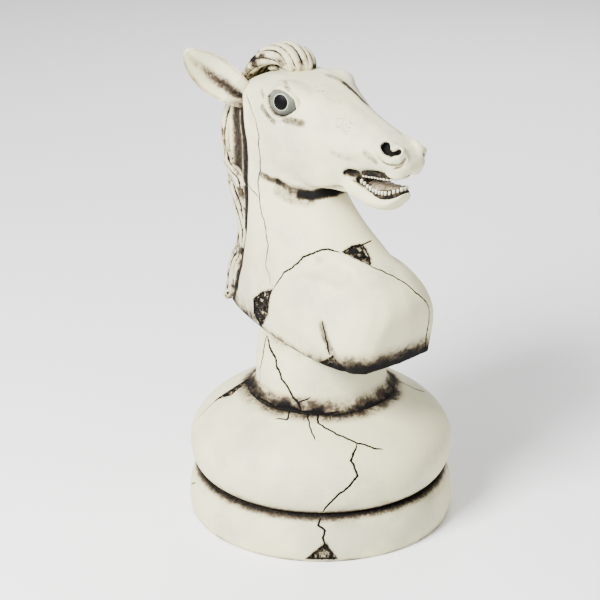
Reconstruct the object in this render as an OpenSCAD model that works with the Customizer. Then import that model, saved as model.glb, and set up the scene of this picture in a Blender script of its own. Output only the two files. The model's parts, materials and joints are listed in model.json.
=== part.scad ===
// Giant knight for lawn chess: a hollow horse bust on a round moulded base.
// The horse faces +X, +Z is up, and the origin is on the ground under the middle of the base.

/* [Base] */
// Widest radius of the foot ring
foot_r = 250; // [246:0.5:252]
// Height of the top of the foot ring above the ground
foot_top = 88; // [84:1:92]
// Widest radius of the cushion
cushion_r = 247; // [243:1:249]
// Height of the top of the cushion
cushion_top = 243; // [240:1:248]
// Radius of the stem above its foot
stem_r = 122; // [119:1:126]
// Thickness of the moulded walls of the base
base_wall = 7; // [5:0.5:9]

/* [Horse] */
// Height of the flat underside of the bust
bust_z = 350; // [346:1:354]
// Thickness of the moulded walls of the horse
horse_wall = 6; // [5:0.5:7]
// Radius of each eyeball
eye_r = 34; // [31:0.5:36]
// Rings along each half of the horse
horse_rings = 58; // [40:1:64]
// Points round each half ring of the horse
ring_points = 15; // [11:1:17]

/* [Core] */
// Outer radius of the support tube
tube_r = 24; // [20:0.5:26]
// Height of the top of the support tube
tube_top = 540; // [520:1:550]
// Radius of the plywood base board
board_r = 200; // [192:1:202]
// Thickness of the base board
board_t = 18; // [15:1:20]
// Height of the underside of the base board above the ground
recess = 30; // [28:1:32]

/* [Filler plug] */
// Radius of the plug's threaded shank
plug_r = 14.95; // [14.9:0.01:14.98]
// Distance of the plug from the middle of the base
plug_x = 110; // [100:1:125]

/* [Ground fixing] */
// Diameter of the circle of threaded inserts
insert_pcd = 300; // [280:2:320]
// Radius of the bore of each insert
insert_bore = 4.25; // [3.4:0.05:5.1]

/* [Hidden] */

$fn = 96;
ivory = "ivory";
steel = "lightsteelblue";

fit = 0.05;          // radial clearance of a shank in its bore
gap = 0.3;           // space between faces that move past each other
foot_z = 2;          // underside of the foot ring, on its rubber pads
lip_in = 205;        // inner radius of the foot ring's bottom lip
ledge_in = 175;      // inner radius of the ledge that the base board is screwed to
flange_in = 198;     // inner radius of the joint between foot ring and cushion
board_top = recess + board_t;
stem_foot_r = stem_r + 20;
cushion_flange_in = 95;
floor_t = 7;
floor_screws_at = [[80, 66], [80, -66], [-84, 26], [-84, -26]];
flange_bolt_r = 40;
flange_t = 8;
collar_t = 6;
cap_t = 6;
bar_t = 8;
bar_z = tube_top + cap_t;
rod_r = 6;
rod_x = -70;
rod_top = 772;
nut_h = 10;
nut_r = 10.5;

// ---- curves ----

// Points of an ellipse's arc in the plane
function arc(cx, cy, rx, ry, from, to, n) =
    [for (i = [0 : n]) let(t = from + (to - from) * i / n) [cx + rx * cos(t), cy + ry * sin(t)]];

// Points of a cubic curve between p and s with handles q and r
function bend(p, q, r, s, n) = [for (i = [0 : n]) let(t = i / n, m = 1 - t)
    m * m * m * p + 3 * m * m * t * q + 3 * m * t * t * r + t * t * t * s];

// Smooth value through a list of rows, at position s along it
function smooth4(a, b, c, d, t) = 0.5 * (2 * b + (c - a) * t + (2 * a - 5 * b + 4 * c - d) * t * t
    + (3 * b - a - 3 * c + d) * t * t * t);
function along(rows, s) = let(last = len(rows) - 1, i = min(floor(s), last - 1))
    smooth4(rows[max(i - 1, 0)], rows[i], rows[i + 1], rows[min(i + 2, last)], s - i);

function unit(v) = v / norm(v);
function moved(points, d) = [for (p = points) [max(p[0] - d, 1), p[1]]];
function reversed(list) = [for (i = [len(list) - 1 : -1 : 0]) list[i]];

// ---- the horse as a fan of sections ----

// Each section lies in the plane through its crest point, its front point and the Y direction.
// Crest x, crest z, front x, front z, half width, fullness at the crest, fullness at the front
horse = [
    [-256, bust_z, 205, bust_z, 104, 0.70, 0.15],
    [-247, 388, 216, 386, 109, 0.66, 0.19],
    [-238, 422, 226, 428, 111, 0.62, 0.25],
    [-226, 456, 228, 465, 107, 0.60, 0.33],
    [-214, 492, 202, 499, 99, 0.58, 0.42],
    [-210, 530, 152, 529, 88, 0.56, 0.48],
    [-216, 570, 103, 565, 79, 0.55, 0.50],
    [-227, 612, 67, 598, 74, 0.54, 0.50],
    [-237, 655, 44, 622, 72, 0.52, 0.48],
    [-240, 698, 33, 636, 72, 0.50, 0.46],
    [-231, 740, 28, 643, 75, 0.47, 0.44],
    [-209, 778, 29, 646, 79, 0.42, 0.42],
    [-168, 808, 35, 647, 83, 0.35, 0.42],
    [-115, 831, 43, 647, 86, 0.30, 0.42],
    [-58, 843, 54, 646, 87, 0.28, 0.42],
    [-2, 839, 70, 645, 82, 0.30, 0.44],
    [46, 823, 88, 646, 69, 0.34, 0.46],
    [80, 809, 105, 658, 58, 0.40, 0.46],
    [110, 798, 124, 690, 49, 0.42, 0.42],
    [142, 787, 152, 702, 44, 0.42, 0.40],
    [174, 776, 182, 705, 41, 0.42, 0.40],
    [204, 765, 208, 707, 40, 0.40, 0.40],
    [226, 751, 227, 713, 33, 0.42, 0.42],
    [238, 735, 237, 722, 18, 0.50, 0.50]];

// Half width of a section at share u of the way from the crest to the front
function half_width(u, w, a, b) = let(m = a / (a + b)) w * pow(u / m, a) * pow((1 - u) / (1 - m), b);

// Half outline of one section, set in from the surface by d
function section(row, side, d, inner_w = -1) = let(
    w = inner_w < 0 ? row[4] - d : inner_w,
    crest = [row[0], 0, row[1]], front = [row[2], 0, row[3]], way = unit(front - crest),
    back_in = d * (1 + 3 * pow(max(0, (row[5] - 0.4) / 0.6), 2)),
    p = crest + back_in * way, q = front - d * way)
    [for (k = [0 : ring_points - 1]) let(u = (1 - cos(180 * k / (ring_points - 1))) / 2)
        p + u * (q - p) + [0, side * half_width(u, w, row[5], row[6]), 0]];

// The cavity ends in a thin slit at the tip of the muzzle, where the walls meet
tip_w = 30;
function tip_wall(row) = min(horse_wall, 0.48 * norm([row[2] - row[0], row[3] - row[1]]));

function shell_rings(side) = [for (j = [0 : horse_rings]) let(
    row = along(horse, j * (len(horse) - 1) / horse_rings),
    outer = section(row, side, 0),
    inner = section(row, side, tip_wall(row), row[4] < tip_w ? 0.04 * row[4] : -1))
    concat(outer, reversed(inner))];

// A closed solid through rings of points, with end caps given as lists of faces
module skin(rings, caps, flip) {
    n = len(rings[0]);
    points = [for (ring = rings) each ring];
    walls = [for (j = [0 : len(rings) - 2], k = [0 : n - 1])
        let(a = j * n + k, b = j * n + (k + 1) % n) [a, b, b + n, a + n]];
    halves = [for (f = concat(walls, caps)) each
        len(f) == 4 ? [[f[0], f[1], f[2]], [f[0], f[2], f[3]]] : [f]];
    polyhedron(points, [for (f = halves) flip ? reversed(f) : f]);
}

// Cap faces between the outer and inner halves of a C-shaped ring
function c_caps(n, last) = concat(
    [for (k = [0 : n / 2 - 2]) [n - 1 - k, n - 2 - k, k + 1, k]],
    [for (k = [0 : n / 2 - 2]) let(z = last * n) [z + k, z + k + 1, z + n - 2 - k, z + n - 1 - k]]);

module bust_half(side) {
    rings = shell_rings(side);
    skin(rings, c_caps(len(rings[0]), horse_rings), side < 0);
}

// A solid of flattened round rings along a path of [x, y, z, half width, half height];
// the width of each ring lies as near as it can to the direction wide
function ring_at(path, i, n, wide) = let(
    p = path[i], before = path[max(i - 1, 0)], after = path[min(i + 1, len(path) - 1)],
    way = unit([for (k = [0 : 2]) after[k] - before[k]]),
    side = unit(wide - (wide * way) * way), up = cross(side, way))
    [for (k = [0 : n - 1]) let(t = 360 * k / n)
        [p[0], p[1], p[2]] + p[3] * cos(t) * side + p[4] * sin(t) * up];

module lock(rows, steps, wide = [0, 1, 0], sides = 10) {
    path = [for (i = [0 : steps]) along(rows, (len(rows) - 1) * i / steps)];
    rings = [for (i = [0 : steps]) ring_at(path, i, sides, wide)];
    far = steps * sides;
    caps = concat([for (k = [1 : sides - 2]) [0, k + 1, k]],
        [for (k = [1 : sides - 2]) [far, far + k, far + k + 1]]);
    skin(rings, caps, true);
}

// ---- base ----

module foot_ring() {
    outer = arc(foot_r - 25, 32, 25, 57, -32, 79, 14);
    top = outer[len(outer) - 1];
    color(ivory) rotate_extrude() polygon(concat(
        [[lip_in, foot_z], [outer[0][0] - 4, foot_z]], [for (p = outer) if (p[1] < foot_top - 1) p],
        [[top[0] - 2, foot_top], [flange_in, foot_top], [flange_in, foot_top - base_wall]],
        [[foot_r - 30, foot_top - base_wall], [foot_r - 16, foot_top - 24]],
        [[foot_r - 12, board_top + base_wall], [ledge_in, board_top + base_wall]],
        [[ledge_in, board_top], [foot_r - 11, board_top]],
        [[foot_r - 12, foot_z + base_wall], [lip_in, foot_z + base_wall]]));
}

module base_cushion() {
    low = bend([228, foot_top], [239, 98], [cushion_r, 116], [cushion_r, 140], 8);
    high = bend([cushion_r, 140], [cushion_r, 178], [212, 214], [stem_foot_r, cushion_top], 14);
    outer = concat(low, [for (i = [1 : 14]) high[i]]);
    inner = [for (p = outer) if (p[1] > foot_top + base_wall && p[1] < cushion_top - 2 * base_wall)
        [p[0] - base_wall * 1.2, p[1]]];
    inner_high = inner[len(inner) - 1];
    color(ivory) rotate_extrude() polygon(concat(outer,
        [[cushion_flange_in, cushion_top], [cushion_flange_in, cushion_top - base_wall]],
        [[inner_high[0] - 16, cushion_top - base_wall]], reversed(inner),
        [[inner[0][0] - 6, foot_top + base_wall], [flange_in, foot_top + base_wall]],
        [[flange_in, foot_top]]));
}

// The bust's underside outline, set in from its edge by d
function floor_outline(d) = let(right = section(horse[0], -1, d), left = section(horse[0], 1, d))
    [for (p = concat(right, reversed([for (k = [1 : ring_points - 2]) left[k]]))) [p[0], p[1]]];

// The upper stem changes from round to the part of the bust's outline that lies above it
module stem_head(r, d, from, to) hull() {
    translate([0, 0, from]) cylinder(r = r, h = 0.5, $fn = 64);
    translate([0, 0, to - 0.5]) linear_extrude(0.5) intersection() {
        circle(r = r, $fn = 64);
        polygon(floor_outline(d));
    }
}

module stem() {
    head_z = cushion_top + 52;
    flare = bend([stem_foot_r, cushion_top], [stem_r + 6, cushion_top + 6],
        [stem_r + 1, cushion_top + 16], [stem_r, cushion_top + 30], 10);
    color(ivory) difference() {
        union() {
            rotate_extrude() polygon(concat(flare, [[stem_r, head_z], [stem_r - base_wall, head_z]],
                moved(reversed(flare), base_wall)));
            difference() {
                stem_head(stem_r, 4, head_z, bust_z);
                stem_head(stem_r - base_wall, 4 + base_wall, head_z - 1, bust_z - base_wall);
            }
        }
        translate([0, 0, bust_z - base_wall - 1]) cylinder(r = tube_r + 6, h = base_wall + 2);
        floor_screw_places(bust_z - base_wall - 1, base_wall + 2, 3 + fit);
    }
}

// ---- horse ----

module bust_right() color(ivory) bust_half(-1);
module bust_left() color(ivory) bust_half(1);

module bust_floor() {
    color("wheat") difference() {
        translate([0, 0, bust_z]) linear_extrude(floor_t) polygon(floor_outline(horse_wall + 2));
        translate([0, 0, bust_z - 1]) cylinder(r = tube_r + 0.5, h = floor_t + 2);
        floor_screw_places(bust_z - 1, floor_t + 2, 3 + fit);
    }
}

// The lower jaw: top x, top z, bottom x, bottom z, half width, fullness at top and bottom
jaw = [
    [129, 684, 107, 642, 39, 0.28, 0.45],
    [150, 673, 136, 634, 38, 0.25, 0.45],
    [170, 665, 162, 635, 35, 0.25, 0.45],
    [190, 664, 185, 641, 32, 0.25, 0.45],
    [206, 670, 202, 652, 26, 0.25, 0.45],
    [216, 679, 215, 670, 12, 0.40, 0.50]];

module lower_jaw() {
    steps = 14;
    rings = [for (j = [0 : steps]) let(row = along(jaw, j * (len(jaw) - 1) / steps),
        a = section(row, 1, 0), b = section(row, -1, 0))
        concat(a, reversed([for (k = [1 : ring_points - 2]) b[k]]))];
    n = len(rings[0]);
    half = ring_points - 1;
    far = steps * n;
    caps = concat([[0, n - 1, 1]], [for (k = [1 : half - 2]) [k, n - k, n - k - 1, k + 1]],
        [[half - 1, half + 1, half]], [[far, far + 1, far + n - 1]],
        [for (k = [1 : half - 2]) [far + k, far + k + 1, far + n - k - 1, far + n - k]],
        [[far + half - 1, far + half, far + half + 1]]);
    color(ivory) skin(rings, caps, false);
}

// A flat horseshoe strip, open to the back
module horseshoe(length, width, strip, thick) {
    linear_extrude(thick) difference() {
        union() {
            circle(r = width);
            translate([-length, -width]) square([length, 2 * width]);
        }
        circle(r = width - strip);
        translate([-length - 1, strip - width]) square([length + 1, 2 * (width - strip)]);
    }
}

// A row of teeth along a horseshoe, pointing up from its base
module teeth_row(length, width, count, tall) {
    for (i = [0 : count - 1]) {
        share = (i + 0.5) / count;
        reach = length + 90 * (PI * width / 180);
        at = (share * 2 - 1) * reach;
        bent = abs(at) < 90 * (PI * width / 180);
        turn = bent ? at / (PI * width / 180) : 90 * sign(at);
        back = bent ? 0 : abs(at) - 90 * (PI * width / 180);
        translate([width * cos(turn) - back, width * sin(turn), 0]) rotate(turn)
            translate([-2, -2.3, 0]) cube([4, 4.6, tall]);
    }
}

module upper_teeth() color("linen") translate([184, 0, 0]) {
    translate([0, 0, 699]) horseshoe(44, 28, 8, 12);
    translate([0, 0, 691]) teeth_row(40, 24, 22, 8);
}

module lower_teeth() color("linen") translate([178, 0, 0]) {
    translate([0, 0, 656]) horseshoe(36, 26, 8, 10);
    translate([0, 0, 666]) teeth_row(32, 22, 20, 6);
}

module tongue() color("tan") translate([0, 0, 659]) linear_extrude(9) union() {
    translate([180, 0]) circle(r = 13);
    translate([134, -13]) square([46, 26]);
}

module eye(side) color("gray") translate([-30, side * 52, 801]) sphere(r = eye_r);
module right_eye() eye(-1);
module left_eye() eye(1);

// Ear from root to tip: x, y, z, half width, half thickness
right_ear_path = [[-150, -56, 783, 18, 13], [-172, -76, 802, 27, 15], [-196, -99, 828, 28, 13],
    [-214, -115, 848, 19, 9], [-226, -125, 862, 5, 4]];
left_ear_path = [[-150, 56, 783, 18, 13], [-174, 70, 795, 27, 15], [-199, 88, 813, 28, 13],
    [-216, 101, 826, 19, 9], [-228, 110, 836, 5, 4]];

module ear(path, wide) color(ivory) difference() {
    lock(path, 14, wide, 12);
    pin_along(path, 5 + fit, 1);
}

// The dowel runs from inside the head into the root of the ear
module pin_along(path, r, extra) {
    from = path[0];
    to = path[1];
    way = unit([to[0] - from[0], to[1] - from[1], to[2] - from[2]]);
    translate([from[0], from[1], from[2]] - (extra + 14) * way)
        rotate([0, acos(way[2]), atan2(way[1], way[0])]) cylinder(r = r, h = 34 + 2 * extra);
}
module right_ear() ear(right_ear_path, [0.24, 0.56, 0.71]);
module left_ear() ear(left_ear_path, [0.24, -0.56, 0.71]);
module ear_pins() color("burlywood") for (path = [right_ear_path, left_ear_path])
    pin_along(path, 5, 0);

// Forelock from the poll to its curl: x, y, z, half width, half height
forelock_path = [[-196, 0, 788, 20, 10], [-170, 0, 822, 30, 13], [-132, 0, 850, 36, 16],
    [-94, 1, 864, 36, 18], [-64, 2, 863, 28, 15], [-42, 2, 857, 14, 8]];

module forelock() color("tan") lock(forelock_path, 20);

module mane() {
    steps = 46;
    rows = [for (i = [0 : steps]) let(s = 0.35 + 10.75 * i / steps, row = along(horse, s))
        [row[0] + 9 + 2 * sin(i * 42), -16 + 2 * sin(i * 55), row[1], 15, 11 + 2 * sin(i * 60)]];
    color("tan") lock(rows, steps);
}

// ---- base board and its fixings ----

module on_circle(count, r, turn = 0) for (i = [0 : count - 1])
    rotate(turn + 360 * i / count) translate([r, 0, 0]) children();

module floor_screw_places(z, h, r) for (at = floor_screws_at) translate([at[0], at[1], z])
    cylinder(r = r, h = h);

module base_board() color("peru") difference() {
    translate([0, 0, recess]) cylinder(r = board_r, h = board_t);
    translate([0, 0, recess - 1]) {
        on_circle(4, flange_bolt_r, 45) cylinder(r = 4.5, h = board_t + 2);
        on_circle(8, 187, 22.5) cylinder(r = 2.5 + fit, h = board_t + 2);
        translate([plug_x, 0, 0]) cylinder(r = 20 + fit, h = board_t + 2);
        on_circle(4, insert_pcd / 2, 45) cylinder(r = 8 + fit, h = 16.2);
    }
}

module board_screws() color(steel) on_circle(8, 187, 22.5) {
    translate([0, 0, recess]) cylinder(r = 2.5, h = board_t);
    translate([0, 0, recess - 3]) cylinder(r = 5.5, h = 3);
}

module rubber_feet() color("dimgray") on_circle(6, 224, 30) cylinder(r = 13, h = foot_z);

module ground_inserts() color("goldenrod") on_circle(4, insert_pcd / 2, 45)
    translate([0, 0, recess]) difference() {
        cylinder(r = 8, h = 15);
        translate([0, 0, -1]) cylinder(r = insert_bore, h = 17);
    }

// ---- steel core ----

module floor_flange() color(steel) translate([0, 0, board_top]) difference() {
    union() {
        cylinder(r = 56, h = flange_t);
        cylinder(r = tube_r + 8, h = 32);
    }
    translate([0, 0, -1]) cylinder(r = tube_r + fit, h = 34);
    translate([0, 0, -1]) on_circle(4, flange_bolt_r, 45) cylinder(r = 4.5, h = flange_t + 2);
}

module flange_bolts() color(steel) on_circle(4, flange_bolt_r, 45) {
    translate([0, 0, recess - 9]) cylinder(r = 4, h = board_t + flange_t + 9);
    translate([0, 0, board_top + flange_t]) cylinder(r = 7, h = 5, $fn = 6);
}

module flange_nuts() color(steel) on_circle(4, flange_bolt_r, 45) translate([0, 0, recess - 7])
    difference() {
        cylinder(r = 7.5, h = 7, $fn = 6);
        translate([0, 0, -1]) cylinder(r = 4 + fit, h = 9);
    }

module support_tube() color(steel) difference() {
    translate([0, 0, board_top]) cylinder(r = tube_r, h = tube_top - board_top);
    translate([0, 0, board_top - 1]) cylinder(r = tube_r - 3, h = tube_top - board_top + 2);
}

module tube_cap() color(steel) translate([0, 0, tube_top]) difference() {
    cylinder(r = tube_r, h = cap_t);
    translate([0, 0, -1]) cylinder(r = rod_r + fit, h = cap_t + 2);
}

module floor_collar() color(steel) translate([0, 0, bust_z + floor_t]) difference() {
    cylinder(r = 60, h = collar_t);
    translate([0, 0, -1]) cylinder(r = tube_r + fit, h = collar_t + 2);
}

module floor_screws() color(steel) {
    floor_screw_places(bust_z - base_wall, base_wall + floor_t, 3);
    floor_screw_places(bust_z + floor_t, 3, 6);
}

module crossbar() color(steel) difference() {
    translate([-110, -20, bar_z]) cube([170, 40, bar_t]);
    translate([0, 0, bar_z - 1]) cylinder(r = rod_r + fit, h = bar_t + 2);
    translate([rod_x, 0, bar_z - 1]) cylinder(r = rod_r + fit, h = bar_t + 2);
}

module crossbar_bolt() color(steel) {
    translate([0, 0, tube_top - nut_h - 2]) cylinder(r = rod_r, h = nut_h + 2 + cap_t + bar_t);
    translate([0, 0, bar_z + bar_t]) cylinder(r = nut_r, h = 8, $fn = 6);
}

module hex_nut() difference() {
    cylinder(r = nut_r, h = nut_h, $fn = 6);
    translate([0, 0, -1]) cylinder(r = rod_r + fit, h = nut_h + 2);
}

module steel_nuts() color(steel) {
    translate([0, 0, tube_top - nut_h]) hex_nut();
    translate([rod_x, 0, bar_z - nut_h]) hex_nut();
    translate([rod_x, 0, bar_z + bar_t]) hex_nut();
}

module head_rod() color(steel) translate([rod_x, 0, bar_z - nut_h - 6])
    cylinder(r = rod_r, h = rod_top - bar_z + nut_h + 6);

module ballast() color("khaki") difference() {
    translate([0, 0, board_top]) rotate_extrude()
        polygon([[62, 0], [ledge_in - 4, 0], [ledge_in - 4, 82], [62, 82]]);
    translate([plug_x, 0, board_top - 1]) cylinder(r = 26, h = 14);
}

// ---- filler under the base ----

module filler_bush() color("goldenrod") translate([plug_x, 0, recess]) difference() {
    union() {
        cylinder(r = 20, h = board_t);
        translate([0, 0, -3]) cylinder(r = 26, h = 3);
    }
    translate([0, 0, -4]) cylinder(r = plug_r + fit, h = board_t + 6);
}

module plug_seal() color("black") translate([plug_x, 0, recess - 6 + gap]) difference() {
    cylinder(r = 22, h = 3 - 2 * gap);
    translate([0, 0, -1]) cylinder(r = plug_r + fit, h = 5);
}

module filler_plug() color("dimgray") translate([plug_x, 0, recess - 6]) difference() {
    union() {
        cylinder(r = plug_r, h = 18);
        translate([0, 0, -7]) cylinder(r = 24, h = 7);
    }
    translate([-18, -2, -8]) cube([36, 4, 5]);
}

foot_ring();
base_cushion();
stem();
bust_right();
bust_left();
bust_floor();
lower_jaw();
upper_teeth();
lower_teeth();
tongue();
right_eye();
left_eye();
right_ear();
left_ear();
ear_pins();
forelock();
mane();
base_board();
board_screws();
rubber_feet();
ground_inserts();
floor_flange();
flange_bolts();
flange_nuts();
support_tube();
tube_cap();
floor_collar();
floor_screws();
crossbar();
crossbar_bolt();
steel_nuts();
head_rod();
ballast();
filler_bush();
plug_seal();
filler_plug();
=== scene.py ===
"""Giant lawn-chess knight: a cast horse bust on a round base, painted ivory with a dark antique wash."""
import json
import math

import bmesh
import bpy
import numpy as np
from mathutils import Matrix, Vector, noise
from mathutils.bvhtree import BVHTree
from mathutils.kdtree import KDTree


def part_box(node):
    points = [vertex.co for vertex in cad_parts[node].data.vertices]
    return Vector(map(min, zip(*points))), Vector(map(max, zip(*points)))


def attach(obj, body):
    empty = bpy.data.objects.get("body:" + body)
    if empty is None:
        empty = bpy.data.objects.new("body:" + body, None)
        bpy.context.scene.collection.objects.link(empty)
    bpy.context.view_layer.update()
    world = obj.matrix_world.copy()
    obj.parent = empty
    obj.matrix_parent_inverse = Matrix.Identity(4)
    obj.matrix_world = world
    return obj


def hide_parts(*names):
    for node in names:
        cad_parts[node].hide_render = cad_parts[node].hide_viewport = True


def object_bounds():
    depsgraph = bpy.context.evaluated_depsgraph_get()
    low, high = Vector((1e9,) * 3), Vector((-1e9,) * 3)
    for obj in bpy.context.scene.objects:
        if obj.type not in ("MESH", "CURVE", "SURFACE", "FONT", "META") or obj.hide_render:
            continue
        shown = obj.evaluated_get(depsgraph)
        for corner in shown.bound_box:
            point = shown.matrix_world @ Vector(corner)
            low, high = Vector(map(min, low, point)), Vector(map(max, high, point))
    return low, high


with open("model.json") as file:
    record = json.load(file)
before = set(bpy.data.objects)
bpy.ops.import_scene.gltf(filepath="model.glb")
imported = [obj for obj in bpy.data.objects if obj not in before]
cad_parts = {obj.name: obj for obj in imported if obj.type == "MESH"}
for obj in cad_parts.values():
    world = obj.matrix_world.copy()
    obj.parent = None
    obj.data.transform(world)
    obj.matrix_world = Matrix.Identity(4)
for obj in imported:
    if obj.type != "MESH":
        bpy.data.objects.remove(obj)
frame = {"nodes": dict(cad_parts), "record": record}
CAD_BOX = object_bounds()

bl_info = {
    "name": "Giant Knight",
    "version": (1, 0, 0),
    "blender": (4, 5, 0),
    "location": "View3D > Sidebar > Knight",
    "description": "Builds the carved and painted surface of a giant chess knight round its frame",
    "category": "Object",
}

MM = 0.001
SIDES = {"right": -1, "left": 1}


# ---------------------------------------------------------------- settings

class PaintSettings(bpy.types.PropertyGroup):
    """Colours of the paint and the wash"""
    ivory: bpy.props.FloatVectorProperty(
        name="Ivory", description="Main coat", subtype="COLOR", size=3, default=(0.66, 0.62, 0.385))
    shade: bpy.props.FloatVectorProperty(
        name="Shade", description="Cooler patches of the main coat", subtype="COLOR", size=3,
        default=(0.44, 0.45, 0.31))
    # Wash and black also paint the painted shade that the wash layer holds: in hollows, under the jaw and in the ear
    # cups
    wash: bpy.props.FloatVectorProperty(
        name="Wash", description="Brown antique wash", subtype="COLOR", size=3,
        default=(0.040, 0.027, 0.016))
    black: bpy.props.FloatVectorProperty(
        name="Black", description="Deepest wash, in cracks and folds", subtype="COLOR", size=3,
        default=(0.0025, 0.0020, 0.0017))
    hair: bpy.props.FloatVectorProperty(
        name="Hair", description="Coat on mane and forelock", subtype="COLOR", size=3,
        default=(0.54, 0.48, 0.29))
    eye: bpy.props.FloatVectorProperty(
        name="Eye", description="Grey of the eye", subtype="COLOR", size=3, default=(0.085, 0.09, 0.072))


class CarvingSettings(bpy.types.PropertyGroup):
    """How finely the horse is carved"""
    voxel: bpy.props.FloatProperty(
        name="Voxel", description="Grain of the carved surface", default=0.0032, min=0.002, max=0.01,
        subtype="DISTANCE")
    crack_width: bpy.props.FloatProperty(
        name="Crack Width", description="Half width of a carved crack", default=0.0026, subtype="DISTANCE")
    crack_depth: bpy.props.FloatProperty(
        name="Crack Depth", description="Depth of a carved crack", default=0.0026, subtype="DISTANCE")


class StageSettings(bpy.types.PropertyGroup):
    """Camera, floor and light"""
    azimuth: bpy.props.FloatProperty(
        name="Azimuth", description="Direction of the camera round the piece", subtype="ANGLE",
        default=math.radians(47))
    distance: bpy.props.FloatProperty(
        name="Distance", description="Level distance of the camera", subtype="DISTANCE", default=3.35)
    height: bpy.props.FloatProperty(
        name="Height", description="Height of the camera", subtype="DISTANCE", default=1.744)
    pitch: bpy.props.FloatProperty(
        name="Pitch", description="How far the camera looks down", subtype="ANGLE",
        default=math.radians(21.66))
    yaw: bpy.props.FloatProperty(
        name="Yaw", description="How far the camera looks past the middle of the base", subtype="ANGLE",
        default=math.radians(0.68))
    lens: bpy.props.FloatProperty(
        name="Lens", description="Focal length in millimetres", default=116.8)
    floor: bpy.props.FloatVectorProperty(
        name="Floor", description="Colour of the floor", subtype="COLOR", size=3, default=(0.93, 0.93, 0.93))


def settings(group):
    return getattr(bpy.context.scene, "knight_" + group)


# ---------------------------------------------------------------- shader graphs

class Value:
    """A number socket, so that shader maths reads as an expression"""

    def __init__(self, graph, socket):
        self.graph = graph
        self.socket = socket

    def _math(self, operation, *values):
        return self.graph.node("ShaderNodeMath", {"operation": operation}, *values)

    def __add__(self, other): return self._math("ADD", self, other)
    def __radd__(self, other): return self._math("ADD", other, self)
    def __sub__(self, other): return self._math("SUBTRACT", self, other)
    def __rsub__(self, other): return self._math("SUBTRACT", other, self)
    def __mul__(self, other): return self._math("MULTIPLY", self, other)
    def __rmul__(self, other): return self._math("MULTIPLY", other, self)

    def step(self, low, high):
        """0 below low, 1 above high, smooth between"""
        ramp = {"interpolation_type": "SMOOTHSTEP", "clamp": True}
        return self.graph.node("ShaderNodeMapRange", ramp, self, low, high, 0.0, 1.0)

    def top(self, other): return self._math("MAXIMUM", self, other)
    def low(self, other): return self._math("MINIMUM", self, other)


class Graph:
    """One material and its nodes"""

    def __init__(self, name):
        self.material = bpy.data.materials.new(name)
        self.material.use_nodes = True
        self.tree = self.material.node_tree
        self.tree.nodes.clear()
        self.shader = self.tree.nodes.new("ShaderNodeBsdfPrincipled")
        output = self.tree.nodes.new("ShaderNodeOutputMaterial")
        self.tree.links.new(self.shader.outputs[0], output.inputs[0])
        self.place = self.node("ShaderNodeTexCoord", {}, out="Object")

    def node(self, kind, options=None, *inputs, out=0, **named):
        """Adds a node: its options first, then values or links for its sockets"""
        made = self.tree.nodes.new(kind)
        for key, value in (options or {}).items():
            if key == "stops":
                self._stops(made.color_ramp, value)
            else:
                setattr(made, key, value)
        pairs = list(zip(made.inputs, inputs))
        pairs += [(made.inputs[key.replace("_", " ")], value) for key, value in named.items()]
        for socket, value in pairs:
            self.feed(socket, value)
        return Value(self, made.outputs[out])

    @staticmethod
    def _stops(ramp, stops):
        while len(ramp.elements) < len(stops):
            ramp.elements.new(0.5)
        for element, (at, colour) in zip(ramp.elements, stops):
            element.position = at
            element.color = (*colour, 1.0)

    def feed(self, socket, value):
        if isinstance(value, Value):
            self.tree.links.new(value.socket, socket)
        elif value is not None:
            if socket.type == "RGBA" and len(value) == 3:
                value = (*value, 1.0)
            socket.default_value = value

    def noise(self, scale, detail=4.0, rough=0.5, stretch=None, warp=0.0):
        at = self.place
        if stretch:
            at = self.node("ShaderNodeMapping", {}, at, Scale=stretch)
        return self.node("ShaderNodeTexNoise", {}, Vector=at, Scale=scale, Detail=detail,
                         Roughness=rough, Distortion=warp)

    def layer(self, name):
        return self.node("ShaderNodeAttribute", {"attribute_name": name}, out="Fac")

    def mix(self, factor, a, b):
        made = self.tree.nodes.new("ShaderNodeMix")
        made.data_type = "RGBA"
        for key, value in (("Factor", factor), ("A", a), ("B", b)):
            self.feed([s for s in made.inputs if s.name == key and s.enabled][0], value)
        return Value(self, [s for s in made.outputs if s.enabled][0])

    def finish(self, colour, rough, bump=None, strength=0.3, distance=0.001, **plain):
        self.feed(self.shader.inputs["Base Color"], colour)
        self.feed(self.shader.inputs["Roughness"], rough)
        if bump is not None:
            normal = self.node("ShaderNodeBump", {}, out="Normal", Height=bump, Strength=strength,
                               Distance=distance)
            self.feed(self.shader.inputs["Normal"], normal)
        for key, value in plain.items():
            self.feed(self.shader.inputs[key.replace("_", " ")], value)
        return self.material


MATERIALS = {}


def material(name, maker, *args):
    """Makes each material once"""
    if name not in MATERIALS:
        MATERIALS[name] = maker(name, *args)
    return MATERIALS[name]


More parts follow.
